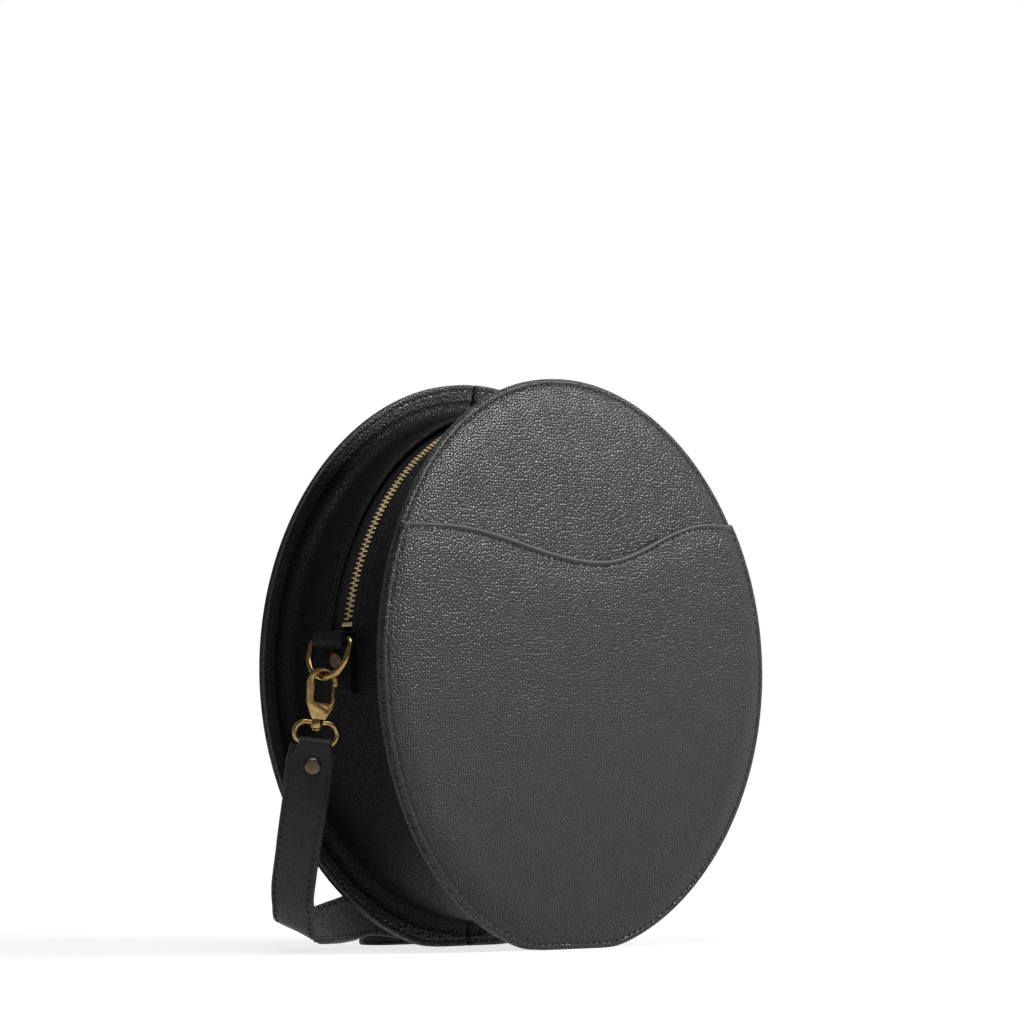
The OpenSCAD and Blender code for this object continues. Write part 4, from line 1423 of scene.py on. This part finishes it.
class BAG_OT_straps(bpy.types.Operator):
    """Model both lengths of the shoulder strap, from their folds to the buckle"""

    bl_idname = "bag.straps"
    bl_label = "Straps"

    def execute(self, context):
        for left in (True, False):
            obj, line = strap_piece(left)
            path = [tuple(f[0]) for f in line]
            side = "left" if left else "right"
            pieces = [f"eye_{side}_loop", f"strap_rivet_{side}_cap", f"hook_{side}_cast",
                      f"gate_{side}_cast", f"gate_pin_{side}_peened"]
            if not left:
                pieces += ["buckle_frame_wire", "buckle_prong_wire", "strap_keeper_leather"]
            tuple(path[0])
            line_length(line)
        return {"FINISHED"}


class BAG_OT_buckle(bpy.types.Operator):
    """Model the strap's buckle, its prong and the keeper"""

    bl_idname = "bag.buckle"
    bl_label = "Buckle"

    def execute(self, context):
        dress((
            ("buckle_frame_wire", "buckle_frame", "bag", "brass", "brass", 0),
            ("buckle_prong_wire", "buckle_prong", "buckle_prong", "brass", "brass", 0.4),
            ("strap_keeper_leather", "strap_keeper", "bag", "leather", "strap", 0.4),
        ))
        return {"FINISHED"}


class BAG_OT_inside(bpy.types.Operator):
    """Finish the boards and linings that the leather hides"""

    bl_idname = "bag.inside"
    bl_label = "Boards and linings"

    def execute(self, context):
        for look, nodes in (
            ("board", ("front_board", "back_board")),
            ("lining", ("lining_front", "lining_back", "lining_gusset")),
        ):
            for node in nodes:
                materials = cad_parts[node].data.materials
                materials.clear()
                materials.append(finish(look))
        return {"FINISHED"}


# ---- camera, floor and lights ----

VIEW_TURN = math.radians(49.08)
VIEW_YAW = math.radians(49.08 - 0.776)
VIEW_PITCH = math.radians(2.877)
VIEW_DISTANCE = 2.170
VIEW_HEIGHT = 0.080
VIEW_MIDDLE_Y = -0.03545
LENS = 176.1
ROOM_LEVEL = 0.1
ROOM_GLOSS = 0.14
FLOOR_GLOW = 0.77
# place, target, size and watts
LAMPS = {
    "key": ((0.85, -0.93, 0.68), (-0.03, -0.03, 0.19), (0.5, 0.36), 18),
    "top": ((-0.55, -0.5, 1.9), (0, 0, 0.15), (1.1, 1.1), 17),
}


class BAG_OT_camera(bpy.types.Operator):
    """Set the camera low at the bag's front left corner"""

    bl_idname = "bag.camera"
    bl_label = "Camera"

    def execute(self, context):
        deselect()
        place = Vector((
            -math.sin(VIEW_TURN) * VIEW_DISTANCE,
            -math.cos(VIEW_TURN) * VIEW_DISTANCE + VIEW_MIDDLE_Y,
            VIEW_HEIGHT,
        ))
        ahead = Vector((
            math.sin(VIEW_YAW) * math.cos(VIEW_PITCH),
            math.cos(VIEW_YAW) * math.cos(VIEW_PITCH),
            math.sin(VIEW_PITCH),
        ))
        bpy.ops.object.camera_add(
            location=place, rotation=ahead.to_track_quat("-Z", "Y").to_euler()
        )
        camera = bpy.context.object
        camera.name = "camera"
        camera.data.lens = LENS
        camera.data.sensor_width = 36
        camera.data.clip_end = 50
        bpy.context.scene.camera = camera
        return {"FINISHED"}


def area_lamp(name, place, target, size, power):
    deselect()
    way = Vector(target) - Vector(place)
    bpy.ops.object.light_add(
        type="AREA", location=place, rotation=way.to_track_quat("-Z", "Y").to_euler()
    )
    lamp = bpy.context.object
    lamp.name = name
    lamp.data.shape = "RECTANGLE"
    lamp.data.size, lamp.data.size_y = size
    lamp.data.energy = power


def seen_direct(n):
    """1 for the rays that show the surround itself: to the camera, in gloss and through."""
    path = n.add("ShaderNodeLightPath")
    seen = n.maths("MAXIMUM", path.outputs["Is Camera Ray"], path.outputs["Is Glossy Ray"])
    return n.maths("MAXIMUM", seen, path.outputs["Is Transmission Ray"])


def pale_floor():
    """White where it is seen directly, with the bag's shadow near its foot."""
    n = Nodes("pale_floor")
    n.shader.inputs["Base Color"].default_value = (0.4, 0.4, 0.4, 1)
    n.shader.inputs["Roughness"].default_value = 0.9
    n.shader.inputs["Specular IOR Level"].default_value = 0.0
    away = n.add("ShaderNodeVectorMath", operation="LENGTH")
    n.link(n.coords.outputs["Object"], away.inputs[0])
    glow = n.add("ShaderNodeEmission")
    n.link(n.span(away.outputs["Value"], 0.3, 0.9, FLOOR_GLOW, 1.0), glow.inputs["Strength"])
    soft = n.add("ShaderNodeBsdfDiffuse")
    soft.inputs["Color"].default_value = (0.36, 0.36, 0.36, 1)
    added = n.add("ShaderNodeAddShader")
    n.link(glow.outputs[0], added.inputs[0])
    n.link(soft.outputs[0], added.inputs[1])
    mix = n.add("ShaderNodeMixShader")
    n.link(seen_direct(n), mix.inputs[0])
    n.link(n.shader.outputs[0], mix.inputs[1])
    n.link(added.outputs[0], mix.inputs[2])
    n.link(mix.outputs[0], n.tree.nodes["Material Output"].inputs["Surface"])
    return n.material


def white_surround():
    """A white backdrop behind the bag and a dim room round it, that light it only softly."""
    world = bpy.data.worlds.new("white_surround")
    bpy.context.scene.world = world
    world.use_nodes = True
    n = Tree(world.node_tree)
    sky = n.tree.nodes["Background"]
    sky.inputs["Color"].default_value = (1, 1, 1, 1)
    path = n.add("ShaderNodeLightPath")
    facing = n.add("ShaderNodeVectorMath", operation="DOT_PRODUCT")
    facing.inputs[1].default_value = (math.sin(VIEW_TURN), math.cos(VIEW_TURN), 0)
    n.link(n.coords.outputs["Generated"], facing.inputs[0])
    sweep = n.add("ShaderNodeMapRange", interpolation_type="SMOOTHSTEP")
    for key, value in (("From Min", 0.3), ("From Max", 0.6), ("To Min", ROOM_GLOSS)):
        sweep.inputs[key].default_value = value
    n.link(facing.outputs["Value"], sweep.inputs["Value"])
    direct = n.maths("MAXIMUM", path.outputs["Is Camera Ray"], path.outputs["Is Transmission Ray"])
    gloss = n.maths("MULTIPLY", path.outputs["Is Glossy Ray"], sweep.outputs["Result"])
    level = n.maths("MAXIMUM", n.maths("MAXIMUM", direct, gloss), ROOM_LEVEL)
    n.link(level, sky.inputs["Strength"])


class BAG_OT_stage(bpy.types.Operator):
    """Lay the floor and set the soft lights"""

    bl_idname = "bag.stage"
    bl_label = "Stage"

    def execute(self, context):
        context.scene.view_settings.view_transform = "Standard"
        deselect()
        bpy.ops.mesh.primitive_circle_add(vertices=64, radius=12, fill_type="NGON")
        floor = bpy.context.object
        floor.name = "floor"
        floor.data.materials.append(pale_floor())
        white_surround()
        for name, values in LAMPS.items():
            area_lamp(name, *values)
        return {"FINISHED"}


# ---- panel and registration ----

STEPS = (
    BAG_OT_camera, BAG_OT_fittings, BAG_OT_buckle, BAG_OT_straps, BAG_OT_faces,
    BAG_OT_pocket, BAG_OT_gusset, BAG_OT_zip, BAG_OT_inside, BAG_OT_stage,
)


class BAG_PT_panel(bpy.types.Panel):
    """Lists the bag's sizes, its colours and the steps that model it"""

    bl_idname = "BAG_PT_panel"
    bl_label = "Round crossbody bag"
    bl_space_type = "VIEW_3D"
    bl_region_type = "UI"
    bl_category = "Bag"

    def draw(self, context):
        for group in (context.scene.bag_sizes, context.scene.bag_colours):
            for key in group.bl_rna.properties.keys():
                if key not in ("rna_type", "name"):
                    self.layout.prop(group, key)
        for step in STEPS:
            self.layout.operator(step.bl_idname)


CLASSES = (BagSizes, BagColours, *STEPS, BAG_PT_panel)


def register():
    for cls in CLASSES:
        bpy.utils.register_class(cls)
    bpy.types.Scene.bag_sizes = PointerProperty(type=BagSizes)
    bpy.types.Scene.bag_colours = PointerProperty(type=BagColours)


def unregister():
    del bpy.types.Scene.bag_colours
    del bpy.types.Scene.bag_sizes
    for cls in reversed(CLASSES):
        bpy.utils.unregister_class(cls)


def main():
    register()
    for step in STEPS:
        group, name = step.bl_idname.split(".")
        getattr(getattr(bpy.ops, group), name)()


if __name__ == "__main__":
    main()
